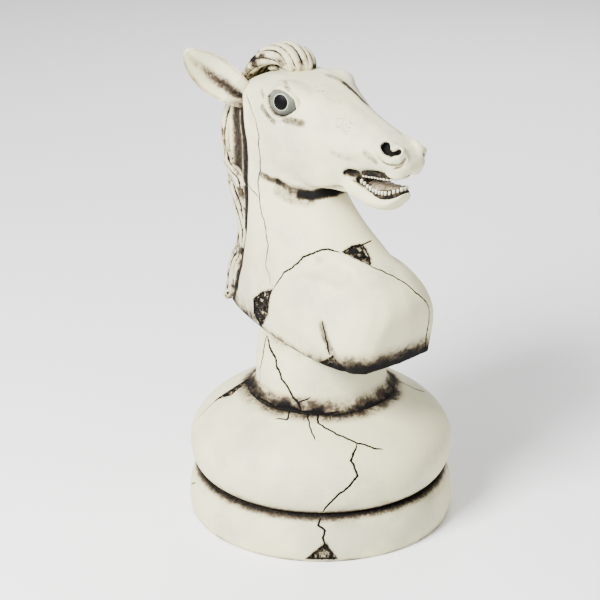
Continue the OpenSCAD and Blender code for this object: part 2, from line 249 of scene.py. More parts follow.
def antique_paint(name, coat, streak=(1.0, 1.0, 1.0), streak_wash=0.0):
    """Painted resin: the layers wash, crack, bare and scratch say where the dark wash lies. The wash layer also holds
    painted shade, in hollows, under the jaw and in the ear cups, so the marks it drives paint that shade too
    """
    paint = settings("paint")
    g = Graph(name)
    broad = g.noise(7.0, 3.0)
    cloud = g.noise(26.0, 5.0, 0.6)
    grit = g.noise(170.0, 6.0, 0.65)
    fleck = g.noise(520.0, 3.0, 0.6)
    brush = g.noise(60.0, 5.0, 0.6, stretch=streak, warp=0.4)
    wash, crack, bare = g.layer("wash"), g.layer("crack"), g.layer("bare")
    scratch = g.layer("scratch")

    # stain, deep and film follow the wash layer: brown and black wash, and painted shade where that layer holds it
    patchy = wash + (cloud - 0.5) * 0.55 + (grit - 0.5) * 0.75 + (brush - 0.5) * 0.35
    stain = patchy.step(0.30, 0.82) * wash.step(0.02, 0.22)
    deep = (wash + (grit - 0.5) * 0.6).step(0.72, 1.05)
    lines = g.noise(34.0, 6.0, 0.72, stretch=(1.0, 1.0, 2.4), warp=2.2)
    broken = grit.step(0.42, 0.56)
    nick = (1.0 - (lines - 0.5) * (lines - 0.5) * 3500.0).step(0.0, 0.7) * scratch.step(0.2, 0.6) * broken

    tone = (broad + (cloud - 0.5) * 0.45 + (grit - 0.5) * 0.25).step(0.40, 0.74)
    coat_mix = g.mix(tone * 0.75, coat, paint.shade)
    coat_mix = g.mix((cloud.step(0.52, 0.8)) * 0.22, coat_mix, (0.66, 0.52, 0.34))
    coat_mix = g.mix(brush.step(0.52, 0.85) * (streak_wash + 0.06), coat_mix, paint.wash)
    coat_mix = g.mix(fleck.step(0.66, 0.74) * 0.10, coat_mix, paint.wash)
    film = g.mix(wash.step(0.0, 0.6) * 0.55, coat_mix, (0.26, 0.20, 0.11))
    painted = g.mix(stain * 0.97, film, paint.wash)
    painted = g.mix(deep, painted, paint.black)
    painted = g.mix(nick * 0.9, painted, (0.035, 0.026, 0.018))
    painted = g.mix(bare.step(0.2, 0.9) * (grit.step(0.3, 0.6)), painted, (0.88, 0.86, 0.78))
    painted = g.mix(crack.step(0.25, 0.75), painted, paint.black)
    rough = 0.46 + stain * 0.36 + grit * 0.10 + crack * 0.2
    height = grit * 0.5 + fleck * 0.25 + brush * 0.5 - nick * 0.6
    return g.finish(painted, rough, height, 0.22, 0.0012, Specular_IOR_Level=0.14)


def plain_finish(name, colour, second, rough, scale, metal=0.0, stretch=None, strength=0.2):
    """Colour that varies softly between two tones, with its own grain"""
    g = Graph(name)
    cloud = g.noise(scale, 4.0, 0.55, stretch=stretch)
    grain = g.noise(scale * 9.0, 4.0, 0.6, stretch=stretch)
    colour_mix = g.mix((cloud + (grain - 0.5) * 0.5).step(0.3, 0.72), colour, second)
    return g.finish(colour_mix, rough + (grain - 0.5) * 0.2, grain, strength, 0.0006, Metallic=metal)


# ---------------------------------------------------------------- mesh tools

class Surface:
    """A mesh as arrays: points, faces and named layers, carved by brushes"""

    def __init__(self, mesh):
        self.mesh = mesh
        self.pull()

    def pull(self):
        count = len(self.mesh.vertices)
        self.at = np.empty(count * 3)
        self.mesh.vertices.foreach_get("co", self.at)
        self.at = self.at.reshape(-1, 3)
        edges = np.empty(len(self.mesh.edges) * 2, dtype=np.int64)
        self.mesh.edges.foreach_get("vertices", edges)
        self.edges = edges.reshape(-1, 2)
        self.ties = np.bincount(self.edges.ravel(), minlength=count)[:, None]
        self.layers = {}
        for layer in self.mesh.attributes:
            if layer.domain == "POINT" and layer.data_type == "FLOAT":
                values = np.empty(count)
                layer.data.foreach_get("value", values)
                self.layers[layer.name] = values

    def push_back(self):
        self.mesh.vertices.foreach_set("co", self.at.ravel())
        for name, values in self.layers.items():
            layer = self.mesh.attributes.get(name) or self.mesh.attributes.new(name, "FLOAT", "POINT")
            layer.data.foreach_set("value", values.astype(np.float32))
        self.mesh.update()

    def layer(self, name):
        return self.layers.setdefault(name, np.zeros(len(self.at)))

    def normals(self):
        self.mesh.vertices.foreach_set("co", self.at.ravel())
        self.mesh.update()
        found = np.empty(len(self.at) * 3, dtype=np.float32)
        self.mesh.vertex_normals.foreach_get("vector", found)
        return found.reshape(-1, 3).astype(float)

    def average(self, values):
        total = np.zeros_like(values)
        np.add.at(total, self.edges[:, 0], values[self.edges[:, 1]])
        np.add.at(total, self.edges[:, 1], values[self.edges[:, 0]])
        return total / np.maximum(self.ties if values.ndim > 1 else self.ties[:, 0], 1)

    def smooth(self, passes, share=0.5, where=None):
        weight = share if where is None else share * where[:, None]
        for _ in range(passes):
            self.at += (self.average(self.at) - self.at) * weight

    def complete(self):
        """Gives the mesh every layer that the paint reads"""
        for name in ("wash", "crack", "bare", "scratch"):
            self.layer(name)
        self.push_back()

    def near(self, centre, radii, turn=0.0, tilt=0.0):
        """Smooth falloff, 1 at the centre and 0 at the edge of an ellipsoid given in millimetres.
        turn is about Z and tilt about Y, in degrees"""
        offset = self.at / MM - np.array(centre)
        if turn:
            c, s = math.cos(math.radians(turn)), math.sin(math.radians(turn))
            offset = np.stack((offset[:, 0] * c + offset[:, 1] * s,
                               offset[:, 1] * c - offset[:, 0] * s, offset[:, 2]), 1)
        if tilt:
            c, s = math.cos(math.radians(tilt)), math.sin(math.radians(tilt))
            offset = np.stack((offset[:, 0] * c - offset[:, 2] * s, offset[:, 1],
                               offset[:, 2] * c + offset[:, 0] * s), 1)
        reach = np.clip(1 - ((offset / np.array(radii)) ** 2).sum(1), 0, 1)
        return reach * reach * (3 - 2 * reach)

    def along(self, points, radius):
        """Falloff round a line of points in millimetres"""
        best = np.full(len(self.at), 1e9)
        here = self.at / MM
        for a, b in zip(points[:-1], points[1:]):
            a, b = np.array(a, float), np.array(b, float)
            share = np.clip(((here - a) @ (b - a)) / max((b - a) @ (b - a), 1e-9), 0, 1)[:, None]
            best = np.minimum(best, np.linalg.norm(here - a - share * (b - a), axis=1))
        reach = np.clip(1 - (best / radius) ** 2, 0, 1)
        return reach * reach * (3 - 2 * reach)

    def swell(self, mask, amount, way=None):
        """Moves the masked surface by amount millimetres along its normals, or along way"""
        towards = self.normals() if way is None else np.array(way, float)[None, :]
        self.at += towards * (mask * amount * MM)[:, None]

    def stain(self, mask, amount=1.0, name="wash"):
        layer = self.layer(name)
        np.maximum(layer, mask * amount, out=layer)

    def hollows(self, passes, gain):
        """Adds wash and painted shade, an ambient-occlusion darkening, where the surface is hollow at the scale of
        some smoothing passes
        """
        soft = self.at.copy()
        for _ in range(passes):
            soft += (self.average(soft) - soft) * 0.6
        depth = ((soft - self.at) * self.normals()).sum(1) / MM
        self.stain(np.clip(depth * gain, 0, 1))


def new_object(name, mesh, coat):
    thing = bpy.data.objects.new(name, mesh)
    bpy.context.scene.collection.objects.link(thing)
    mesh.materials.clear()
    mesh.materials.append(coat)
    mesh.shade_smooth()
    return thing


def remeshed(bm, voxel, name):
    """One closed skin round everything in bm"""
    mesh = bpy.data.meshes.new(name)
    bm.to_mesh(mesh)
    bm.free()
    thing = bpy.data.objects.new(name, mesh)
    bpy.context.scene.collection.objects.link(thing)
    cast = thing.modifiers.new("Skin", "REMESH")
    cast.mode = "VOXEL"
    cast.voxel_size = voxel
    graph = bpy.context.evaluated_depsgraph_get()
    result = bpy.data.meshes.new_from_object(thing.evaluated_get(graph))
    bpy.data.objects.remove(thing)
    bpy.data.meshes.remove(mesh)
    bm = bmesh.new()
    bm.from_mesh(result)
    keep_largest(bm)
    bm.to_mesh(result)
    bm.free()
    result.name = name
    return result


def islands(bm):
    """Groups of joined points, in the mesh's own order"""
    seen = set()
    for first in bm.verts:
        if first in seen:
            continue
        seen.add(first)
        found = [first]
        for point in found:
            for edge in point.link_edges:
                other = edge.other_vert(point)
                if other not in seen:
                    seen.add(other)
                    found.append(other)
        yield found


def keep_largest(bm):
    groups = sorted(islands(bm), key=lambda g: -spread(g))
    spare = [v for group in groups[1:] for v in group]
    bmesh.ops.delete(bm, geom=spare, context="VERTS")


def spread(verts):
    places = np.array([v.co[:] for v in verts])
    return float(np.ptp(places, axis=0).sum())


def add_ball(bm, centre, radii, turn=0.0, tilt=0.0):
    """An ellipsoid of clay, in millimetres"""
    placed = (Matrix.Translation(Vector(centre) * MM) @ Matrix.Rotation(math.radians(turn), 4, "Z")
              @ Matrix.Rotation(math.radians(tilt), 4, "Y")
              @ Matrix.Diagonal((radii[0] * MM, radii[1] * MM, radii[2] * MM, 1)))
    bmesh.ops.create_icosphere(bm, subdivisions=4, radius=1.0, matrix=placed)


def curve_through(points, count):
    """Smooth curve through rows of numbers"""
    rows = np.array(points, float)
    last = len(rows) - 1
    found = []
    for step in range(count + 1):
        s = last * step / count
        i = min(int(s), last - 1)
        t = s - i
        a, b, c, d = rows[max(i - 1, 0)], rows[i], rows[i + 1], rows[min(i + 2, last)]
        found.append(0.5 * (2 * b + (c - a) * t + (2 * a - 5 * b + 4 * c - d) * t ** 2
                            + (3 * b - a - 3 * c + d) * t ** 3))
    return np.array(found)


def add_lock(bm, rows, wide=(0, 1, 0), steps=40, sides=28, strands=5, twist=0.5, depth=0.16, seed=0.0):
    """A lock of hair: rows of x, y, z, half width and half height in millimetres, grooved into strands"""
    path = curve_through(rows, steps)
    wide = np.array(wide, float)
    rings = []
    for i, row in enumerate(path):
        way = path[min(i + 1, steps)][:3] - path[max(i - 1, 0)][:3]
        way /= np.linalg.norm(way)
        side = wide - (wide @ way) * way
        side /= np.linalg.norm(side)
        up = np.cross(side, way)
        ring = []
        for k in range(sides):
            t = 2 * math.pi * k / sides
            groove = 1 - depth * (0.5 + 0.5 * math.cos(strands * (t + twist * i / steps * 2) + seed)) ** 3
            spot = row[:3] + groove * (row[3] * math.cos(t) * side + row[4] * math.sin(t) * up)
            ring.append(bm.verts.new(Vector(spot) * MM))
        rings.append(ring)
    for a, b in zip(rings[:-1], rings[1:]):
        for k in range(sides):
            bm.faces.new((a[k], a[(k + 1) % sides], b[(k + 1) % sides], b[k]))
    bm.faces.new(rings[0][::-1])
    bm.faces.new(rings[-1])


def jagged(points, seed, step=4.0, wander=0.16):
    """A crack's line: given points with broken steps between them"""
    line = [Vector(p) for p in points]
    level = 0
    while max((b - a).length for a, b in zip(line[:-1], line[1:])) > step:
        longer = []
        for n, (a, b) in enumerate(zip(line[:-1], line[1:])):
            offset = noise.noise_vector(Vector((seed * 7.3 + n * 1.7, level * 3.1, seed))) * wander
            longer += [a, (a + b) / 2 + offset * (b - a).length]
        line = longer + [line[-1]]
        level += 1
    return line


def refine(mesh, steps, distance):
    """Splits the edges near some place: steps of (reach, longest edge) in metres"""
    bm = bmesh.new()
    bm.from_mesh(mesh)
    for reach, longest in steps:
        close = [v for v in bm.verts if distance(v.co) < reach]
        edges = list(dict.fromkeys(e for v in close for e in v.link_edges if e.calc_length() > longest))
        bmesh.ops.subdivide_edges(bm, edges=edges, cuts=1, use_grid_fill=True)
    bmesh.ops.triangulate(bm, faces=[f for f in bm.faces if len(f.verts) > 4])
    bm.to_mesh(mesh)
    bm.free()


def drawn_on(tree, way, points):
    """Points laid onto a surface, in millimetres. Given as shares of the piece's length or width and of its
    height, or as (degrees, height in millimetres) round a turned piece"""
    laid = []
    low, high = CAD_BOX
    for a, z in points:
        if way != "round":
            axis = 1 if way == "breast" else 0
            a = (low[axis] + a * (high[axis] - low[axis])) / MM
            z = z * high[2] / MM
        if way == "round":
            towards = Vector((-math.cos(math.radians(a)), -math.sin(math.radians(a)), 0))
            across = Vector()
        elif way == "breast":
            towards, across = Vector((-1, 0, 0)), Vector((0, a * MM, 0))
        else:
            towards, across = Vector((0, -SIDES[way], 0)), Vector((a * MM, 0, 0))
        start = across - towards + Vector((0, 0, z * MM))
        spot = tree.ray_cast(start, towards)[0]
        if spot is None:
            spot = tree.find_nearest(across + Vector((0, 0, z * MM)))[0]
        laid.append(spot / MM)
    return laid


def surface_tree(mesh):
    bm = bmesh.new()
    bm.from_mesh(mesh)
    tree = BVHTree.FromBMesh(bm)
    bm.free()
    return tree


def crack_samples(tree, routes, seed):
    """Closely spaced places along each crack, with its strength there"""
    samples = []
    for n, (way, points, strength) in enumerate(routes):
        line = jagged(drawn_on(tree, way, points), seed + n)
        total = len(line) - 1
        for i, (a, b) in enumerate(zip(line[:-1], line[1:])):
            for k in range(8):
                share = (i + k / 8) / total
                fade = min(1.0, 6 * share + 0.35, 6 * (1 - share) + 0.25)
                pulse = 0.8 + 0.35 * noise.noise(Vector((share * 40, n, seed)))
                here = (a + (b - a) * (k / 8)) * MM
                if way == "round":
                    here += here.xy.normalized().to_3d() * 0.008
                spot = tree.find_nearest(here)[0]
                samples.append((spot, strength * fade * pulse))
    return samples


def cut_cracks(mesh, routes, chips=(), seed=1.0):
    """Carves cracks along routes laid onto the surface, and chips"""
    carving = settings("carving")
    width, depth = carving.crack_width, carving.crack_depth
    tree = surface_tree(mesh)
    samples = crack_samples(tree, routes, seed)
    outlines = [(drawn_on(tree, way, points), deep) for way, points, deep in chips]
    found = KDTree(len(samples))
    for i, (spot, _) in enumerate(samples):
        found.insert(spot, i)
    found.balance()
    refine(mesh, ((0.009, 0.0022), (0.0055, 0.0012), (0.0035, 0.0008)), lambda co: found.find(co)[2])
    for outline, _ in outlines:
        middle = sum(outline, Vector()) / len(outline) * MM
        reach = max((p * MM - middle).length for p in outline) + 0.004
        refine(mesh, ((reach, 0.0022), (reach, 0.0013)), lambda co, m=middle: (co - m).length)
    surface = Surface(mesh)
    normals = surface.normals()
    dark = surface.layer("crack")
    stain = surface.layer("wash")
    for i, place in enumerate(surface.at):
        _, which, gap = found.find(place)
        if gap > 0.012:
            continue
        strength = samples[which][1]
        half = width * (0.35 + 0.75 * strength)
        groove = max(0.0, 1 - (gap / half) ** 2)
        lip = math.exp(-((gap - 2.1 * half) / (0.9 * half)) ** 2)
        surface.at[i] += normals[i] * (lip * 0.12 - groove * strength) * depth
        dark[i] = max(dark[i], min(1.0, 1.35 * groove * (0.5 + strength)))
        stain[i] = max(stain[i], 0.42 * strength * math.exp(-(gap / 0.0035) ** 2))
    for outline, deep in outlines:
        break_out(surface, outline, deep, normals)
    surface.push_back()


def break_out(surface, outline, deep, normals):
    """Knocks a chip out of the surface: sharp sides and a rough, facetted floor"""
    rim = np.array(outline, float) * MM
    middle = rim.mean(0)
    near = np.linalg.norm(surface.at - middle, axis=1) < np.linalg.norm(rim - middle, axis=1).max() + 0.01
    facing = normals[near].mean(0)
    facing /= np.linalg.norm(facing)
    across = rim[1] - rim[0]
    across -= (across @ facing) * facing
    across /= np.linalg.norm(across)
    up = np.cross(facing, across)
    flat_rim = [((p - middle) @ across, (p - middle) @ up) for p in rim]
    dark, stain = surface.layer("crack"), surface.layer("wash")
    for i in np.flatnonzero(near):
        offset = surface.at[i] - middle
        if abs(offset @ facing) > 0.03 or normals[i] @ facing < 0.1:
            continue
        ragged = noise.noise_vector(Vector(surface.at[i]) * 260) * 0.0016
        x, y = offset @ across + ragged.x, offset @ up + ragged.y
        inside, gap = False, 1.0
        for (ax, ay), (bx, by) in zip(flat_rim, flat_rim[1:] + flat_rim[:1]):
            if (ay > y) != (by > y) and x < (bx - ax) * (y - ay) / (by - ay) + ax:
                inside = not inside
            share = ((x - ax) * (bx - ax) + (y - ay) * (by - ay)) / ((bx - ax) ** 2 + (by - ay) ** 2)
            share = min(1.0, max(0.0, share))
            gap = min(gap, math.hypot(x - ax - share * (bx - ax), y - ay - share * (by - ay)))
        if inside:
            facet = noise.cell(Vector(surface.at[i]) * 150 + Vector((3, 7, 1)))
            rough = 0.45 + 0.35 * facet + 0.5 * noise.noise(Vector(surface.at[i]) * 200)
            sink = min(1.0, gap / 0.0016) * max(0.2, rough)
            surface.at[i] -= facing * sink * deep * MM
            dark[i] = max(dark[i], 0.95 * math.exp(-(gap / 0.0016) ** 2),
                          0.9 * max(0.0, 0.1 - abs(noise.noise(Vector(surface.at[i]) * 170))) * 8)
            stain[i] = max(stain[i], 0.78 - 0.5 * facet + 0.9 * abs(noise.noise(Vector(surface.at[i]) * 240)))
        else:
            stain[i] = max(stain[i], 0.6 * math.exp(-(gap / 0.004) ** 2))
            dark[i] = max(dark[i], 0.9 * math.exp(-(gap / 0.0009) ** 2))


def revolve(name, outline, segments):
    """A closed ring from an outline of (radius, height) in millimetres"""
    angles = np.linspace(0, 2 * math.pi, segments, endpoint=False)
    rows = np.array(outline, float) * MM
    at = np.stack((rows[:, None, 0] * np.cos(angles), rows[:, None, 0] * np.sin(angles),
                   np.repeat(rows[:, None, 1], segments, axis=1)), axis=-1).reshape(-1, 3)
    count = len(rows)
    faces = [(j * segments + k, j * segments + (k + 1) % segments,
              (j + 1) % count * segments + (k + 1) % segments, (j + 1) % count * segments + k)
             for j in range(count) for k in range(segments)]
    mesh = bpy.data.meshes.new(name)
    mesh.from_pydata(at.tolist(), [], faces)
    mesh.update()
    return mesh


def spaced(outline, step):
    """The same outline with points no further apart than step"""
    closed = outline + outline[:1]
    found = []
    for a, b in zip(closed[:-1], closed[1:]):
        cuts = max(1, math.ceil(math.dist(a, b) / step))
        found += [(a[0] + (b[0] - a[0]) * i / cuts, a[1] + (b[1] - a[1]) * i / cuts) for i in range(cuts)]
    return found


def bend(p, q, r, s, count):
    """Points of a cubic curve"""
    found = []
    for i in range(count + 1):
        t = i / count
        m = 1 - t
        found.append(tuple(m ** 3 * p[k] + 3 * m * m * t * q[k] + 3 * m * t * t * r[k] + t ** 3 * s[k]
                           for k in (0, 1)))
    return found


def uneven(surface, amount, scale, seed):
    """Hand-finished surface: low waves along the normals"""
    waves = np.array([noise.noise(Vector(p) * scale + Vector((seed, 0, 0))) for p in surface.at])
    surface.at += surface.normals() * (waves * amount * MM)[:, None]


def speckle(surface, scale, seed):
    """A patchy number from 0 to 1 for every point"""
    return np.array([0.5 + 0.5 * noise.fractal(Vector(p) * scale + Vector((seed, 0, 0)), 0.8, 2.0, 4)
                     for p in surface.at])


# ---------------------------------------------------------------- horse

EYE = (-30, 50, 801)
EYE_R = 36
GAZE = (0.30, 0.95, 0.08)

# Cracks of the horse: places along each one, then its strength
# Cracks of the horse: where they are drawn from, their turning points and their strength.
# A point is a share of the whole piece's length (of its width, on the breast) and of its height
HORSE_CRACKS = [
    ("right", [(0.25, 0.90), (0.33, 0.86), (0.34, 0.79), (0.32, 0.72), (0.35, 0.66), (0.41, 0.60),
               (0.43, 0.52)], 0.55),
    ("right", [(0.24, 0.72), (0.28, 0.70), (0.33, 0.69)], 0.4),
    ("right", [(0.45, 0.51), (0.51, 0.56), (0.58, 0.60), (0.64, 0.62), (0.70, 0.62)], 0.85),
    ("breast", [(0.49, 0.63), (0.54, 0.63)], 0.6),
    ("breast", [(0.46, 0.60), (0.53, 0.57), (0.59, 0.53), (0.62, 0.48), (0.64, 0.40)], 0.85),
    ("right", [(0.78, 0.43), (0.77, 0.47), (0.75, 0.50)], 0.85),
    ("right", [(0.36, 0.41), (0.33, 0.42)], 0.9),
]
# Chips of the horse: where they are drawn from, their outline and their depth
HORSE_CHIPS = [
    ("right", [(0.45, 0.51), (0.37, 0.49), (0.30, 0.46), (0.28, 0.42), (0.33, 0.40), (0.41, 0.45)], 8),
    ("breast", [(0.41, 0.62), (0.45, 0.63), (0.49, 0.63), (0.48, 0.61), (0.46, 0.60)], 7),
    ("right", [(0.72, 0.40), (0.75, 0.41), (0.79, 0.43), (0.80, 0.42), (0.84, 0.40)], 7),
]
# Scratched and smudged places: where they are drawn from, route, reach, scratches and wash
WORN = [
    ("right", [(0.37, 0.89), (0.44, 0.87)], 10, 0.5, 0.60),
    ("right", [(0.50, 0.88), (0.57, 0.88)], 11, 0.5, 0.58),
    ("right", [(0.45, 0.95), (0.49, 0.94)], 7, 0.6, 0.46),
    ("right", [(0.34, 0.92), (0.37, 0.91)], 7, 0.6, 0.50),
    ("right", [(0.55, 0.94), (0.64, 0.92)], 9, 0.75, 0.10),
    ("right", [(0.69, 0.89), (0.72, 0.88)], 17, 1.0, 0.12),
    ("right", [(0.68, 0.83), (0.74, 0.82)], 8, 0.5, 0.34),
    ("right", [(0.81, 0.84), (0.85, 0.83)], 12, 0.4, 0.50),
    ("right", [(0.34, 0.74), (0.41, 0.73)], 11, 0.5, 0.55),
    ("right", [(0.75, 0.49), (0.80, 0.42)], 13, 0.3, 0.62),
    ("left", [(0.50, 0.95), (0.56, 0.94)], 13, 0.8, 0.50),
    ("left", [(0.56, 0.94), (0.67, 0.91)], 9, 0.8, 0.85),
]


def outer_skin(bm, node):
    """Adds the outside of one moulded half: its mesh without the joint face, rim and inside"""
    half = bmesh.new()
    half.from_mesh(frame["nodes"][node].data)
    bmesh.ops.remove_doubles(half, verts=half.verts, dist=1e-5)
    low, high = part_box(node)
    flat = [f for f in half.faces
            if all(abs(v.co.y) < 2e-5 for v in f.verts)
            or all(v.co.z < low[2] + 2e-5 for v in f.verts)
            or all(v.co.x > high[0] - 0.0018 for v in f.verts)]
    bmesh.ops.delete(half, geom=flat, context="FACES")
    keep_largest(half)
    piece = bpy.data.meshes.new("half")
    half.to_mesh(piece)
    half.free()
    bm.from_mesh(piece)
    bpy.data.meshes.remove(piece)


def horse_clay():
    """The horse as one closed rough form"""
    bm = bmesh.new()
    for side in SIDES:
        outer_skin(bm, "bust_" + side)
    bmesh.ops.remove_doubles(bm, verts=bm.verts, dist=3e-5)
    rim = [e for e in bm.edges if e.is_boundary]
    bmesh.ops.holes_fill(bm, edges=rim, sides=0)
    bmesh.ops.triangulate(bm, faces=bm.faces)
    bmesh.ops.recalc_face_normals(bm, faces=bm.faces)
    bm.from_mesh(frame["nodes"]["lower_jaw"].data)
    for s in (-1, 1):
        add_ball(bm, (28, s * 36, 712), (78, 34, 66))
        add_ball(bm, (112, s * 22, 672), (34, 22, 26), tilt=8)
        add_ball(bm, (-14, s * 58, 822), (40, 20, 17), turn=-s * 12, tilt=6)
        add_ball(bm, (208, s * 25, 742), (27, 17, 22), turn=-s * 20)
        add_ball(bm, (206, s * 16, 716), (24, 18, 12))
    add_ball(bm, (164, 0, 648), (36, 30, 15), tilt=-4)
    return remeshed(bm, settings("carving").voxel, "horse")


def almond(skin, s):
    """Distance in millimetres inside the edge of an eye's opening, on side s, less than 0 outside it"""
    offset = skin.at / MM - np.array((EYE[0] + 8, s * (EYE[1] + EYE_R), EYE[2]))
    lean = math.radians(6)
    along = offset[:, 0] * math.cos(lean) - offset[:, 2] * math.sin(lean)
    up = offset[:, 2] * math.cos(lean) + offset[:, 0] * math.sin(lean)
    edge = 23 * (1 - np.clip(np.abs(along) / 37, 0, 1.4) ** 2.2)
    inside = np.where(np.abs(along) < 40, edge - np.abs(up), -40)
    return np.where(np.abs(offset[:, 1]) < 34, inside, -40)


def ramp(values, low, high):
    share = np.clip((values - low) / (high - low), 0, 1)
    return share * share * (3 - 2 * share)


def carve_eye(skin, s):
    """Opening, lids and creases"""
    front = (EYE[0] + 6, s * (EYE[1] + EYE_R - 3), EYE[2])
    skin.swell(skin.near(front, (52, 30, 36), turn=-s * 10), 3.5)
    inside = almond(skin, s)
    skin.swell(np.exp(-((inside + 3.5) / 3.2) ** 2), 2.6)
    skin.swell(np.exp(-((inside + 11) / 3.0) ** 2) * (skin.at[:, 2] / MM > EYE[2] - 6), -1.6)
    skin.at[:, 1] -= s * ramp(inside, -0.5, 3.5) * 17 * MM
    skin.stain(ramp(inside, -1.2, 1.5), 1.0)
    skin.stain(np.exp(-((inside + 11) / 3.4) ** 2) * (skin.at[:, 2] / MM > EYE[2]), 0.28)


def carve_nostril(skin, s):
    """A deep comma with a swollen rim and two folds under it"""
    comma = skin.along([(190, s * 30, 762), (200, s * 36, 757), (210, s * 34, 752), (218, s * 28, 755)], 8.0)
    inner = skin.near((211, s * 24, 763), (9, 9, 6))
    rim = skin.along([(184, s * 34, 756), (190, s * 26, 769), (206, s * 19, 770), (220, s * 21, 760),
                      (222, s * 30, 748), (212, s * 40, 742), (194, s * 42, 747), (184, s * 34, 756)], 9)
    skin.swell(np.clip(rim - comma, 0, 1), 3.2)
    hole = np.clip(comma * 1.5, 0, 1) * (1 - 0.7 * inner)
    skin.swell(hole, -13)
    skin.stain(ramp(hole, 0.2, 0.6), 1.3)
    for shift, depth in ((0, 1.8), (9, 1.5)):
        fold = skin.along([(196, s * 42, 736 - shift), (214, s * 40, 733 - shift),
                           (229, s * 31, 736 - shift * 0.4), (234, s * 22, 746)], 4)
        skin.swell(fold, -depth)
        skin.stain(fold, 0.62)
    skin.stain(skin.along([(180, s * 36, 744), (196, s * 44, 740)], 9), 0.35)


def carve_mouth(skin, s):
    """Lips, the corner and the hollow between the jaws"""
    inside = skin.along([(122, 0, 690), (160, 0, 682), (190, 0, 686)], 26)
    inside = inside * (np.abs(skin.at[:, 1]) / MM < 27)
    skin.stain(np.clip(inside * 2, 0, 1), 0.9)
    corner = [(112, s * 41, 695), (122, s * 36, 694), (132, s * 28, 690), (136, s * 12, 686), (136, 0, 686)]
    skin.swell(skin.along(corner, 10), -9)
    bed = [(126, s * 27, 684), (140, s * 25, 680), (150, s * 22, 675)]
    skin.swell(skin.along(bed, 9), -6)
    skin.stain(skin.along(bed, 8.5), 1.4)
    skin.stain(skin.along([(108, s * 43, 695)] + corner, 8.5), 1.4)
    skin.swell(skin.along([(136, s * 38, 706), (166, s * 37, 707), (196, s * 32, 708), (220, s * 20, 710)], 8), 2.0)
    skin.stain(skin.along([(130, s * 36, 699), (160, s * 34, 700), (192, s * 28, 701), (216, s * 14, 704)], 4.5), 0.9)
    skin.swell(skin.along([(132, s * 39, 676), (152, s * 36, 668), (176, s * 33, 664), (200, s * 22, 668)], 6), 1.6)
    skin.stain(skin.along([(122, s * 38, 686), (138, s * 34, 680), (156, s * 30, 674)], 6), 0.75)


def carve_head(skin):
    """Features of the head, in pairs"""
    for s in (-1, 1):
        skin.swell(skin.along([(28, s * 70, 772), (80, s * 58, 752), (130, s * 48, 738)], 16), 2.6)
        skin.swell(skin.near((150, s * 46, 722), (40, 22, 22)), -3.0)
        carve_eye(skin, s)
        carve_nostril(skin, s)
        carve_mouth(skin, s)
        jaw = [(-50, s * 65, 645), (-20, s * 60, 635), (10, s * 50, 635), (40, s * 45, 645), (70, s * 40, 655),
               (100, s * 30, 660)]
        neck = [(-35, s * 60, 635), (-5, s * 50, 630), (15, s * 40, 630), (30, s * 20, 635), (35, 0, 635)]
        # Painted shadow and wash in the throat: dark under the jaw, where the jowl overhangs the neck, fading down
        # the neck below it
        skin.stain(skin.along(neck[1:], 15), 1.15)
        skin.stain(skin.along(neck, 8), 1.1)
        skin.swell(skin.along(jaw, 12), -9)
        skin.stain(skin.along(jaw[1:-1], 13), 1.3)
        skin.stain(skin.along(jaw, 7), 1.2)
        skin.stain(skin.along([(-74, s * 72, 652)] + jaw[:2], 9), 0.8)
        skin.stain(skin.along([(p[0] + 4, p[1], p[2] - 14) for p in jaw], 16), 0.5)
        skin.swell(skin.along([(-110, s * 78, 760), (-70, s * 80, 730), (-52, s * 74, 690)], 16), -2.2)
        skin.swell(skin.near((-62, s * 62, 832), (40, 22, 14)), -2.0)
        groove = [(-160, s * 60, 790), (-140, s * 70, 760), (-130, s * 70, 710), (-135, s * 65, 640),
                  (-135, s * 65, 590), (-140, s * 60, 530), (-160, s * 55, 460), (-195, s * 40, 400),
                  (-230, s * 20, 355)]
        if s < 0:
            skin.swell(skin.along(groove[:-1], 11), -5)
            skin.stain(skin.along(groove, 16), 1.05)
            hidden = [(p[0] - 30, p[1] + 18, p[2]) for p in groove[:-2]]
            skin.swell(skin.along(hidden, 34), -7)
            skin.stain(skin.along(hidden, 34), 0.95)
    for y in (-1, 1):
        skin.swell(skin.along([(20, y * 20, 838), (100, y * 16, 806), (170, y * 12, 782)], 16), 1.2)
    skin.push_back()
    tree = surface_tree(skin.mesh)
    for way, route, reach, scratched, washed in WORN:
        mask = skin.along(drawn_on(tree, way, route), reach)
        skin.stain(mask, scratched, "scratch")
        skin.stain(mask, washed)


def carve_body(skin):
    """Neck, shoulders and chest"""
    for s in (-1, 1):
        skin.swell(skin.near((96, s * 104, 440), (150, 80, 96)), 6)
        fold = [(-78, s * 92, 424), (-40, s * 94, 462), (10, s * 90, 500), (70, s * 84, 524), (130, s * 70, 516)]
        skin.swell(skin.along(fold, 26), -4.5)
        skin.swell(skin.along([(-20, s * 74, 640), (20, s * 78, 580), (70, s * 76, 540)], 20), -3.0)
        skin.swell(skin.near((-60, s * 84, 560), (90, 30, 120)), 2.0)
        skin.swell(skin.along([(168, s * 103, 352), (150, s * 108, 378), (140, s * 110, 400)], 10), -3.5)
        skin.stain(skin.along([(168, s * 103, 352), (152, s * 108, 376), (142, s * 110, 396)], 8), 0.5)


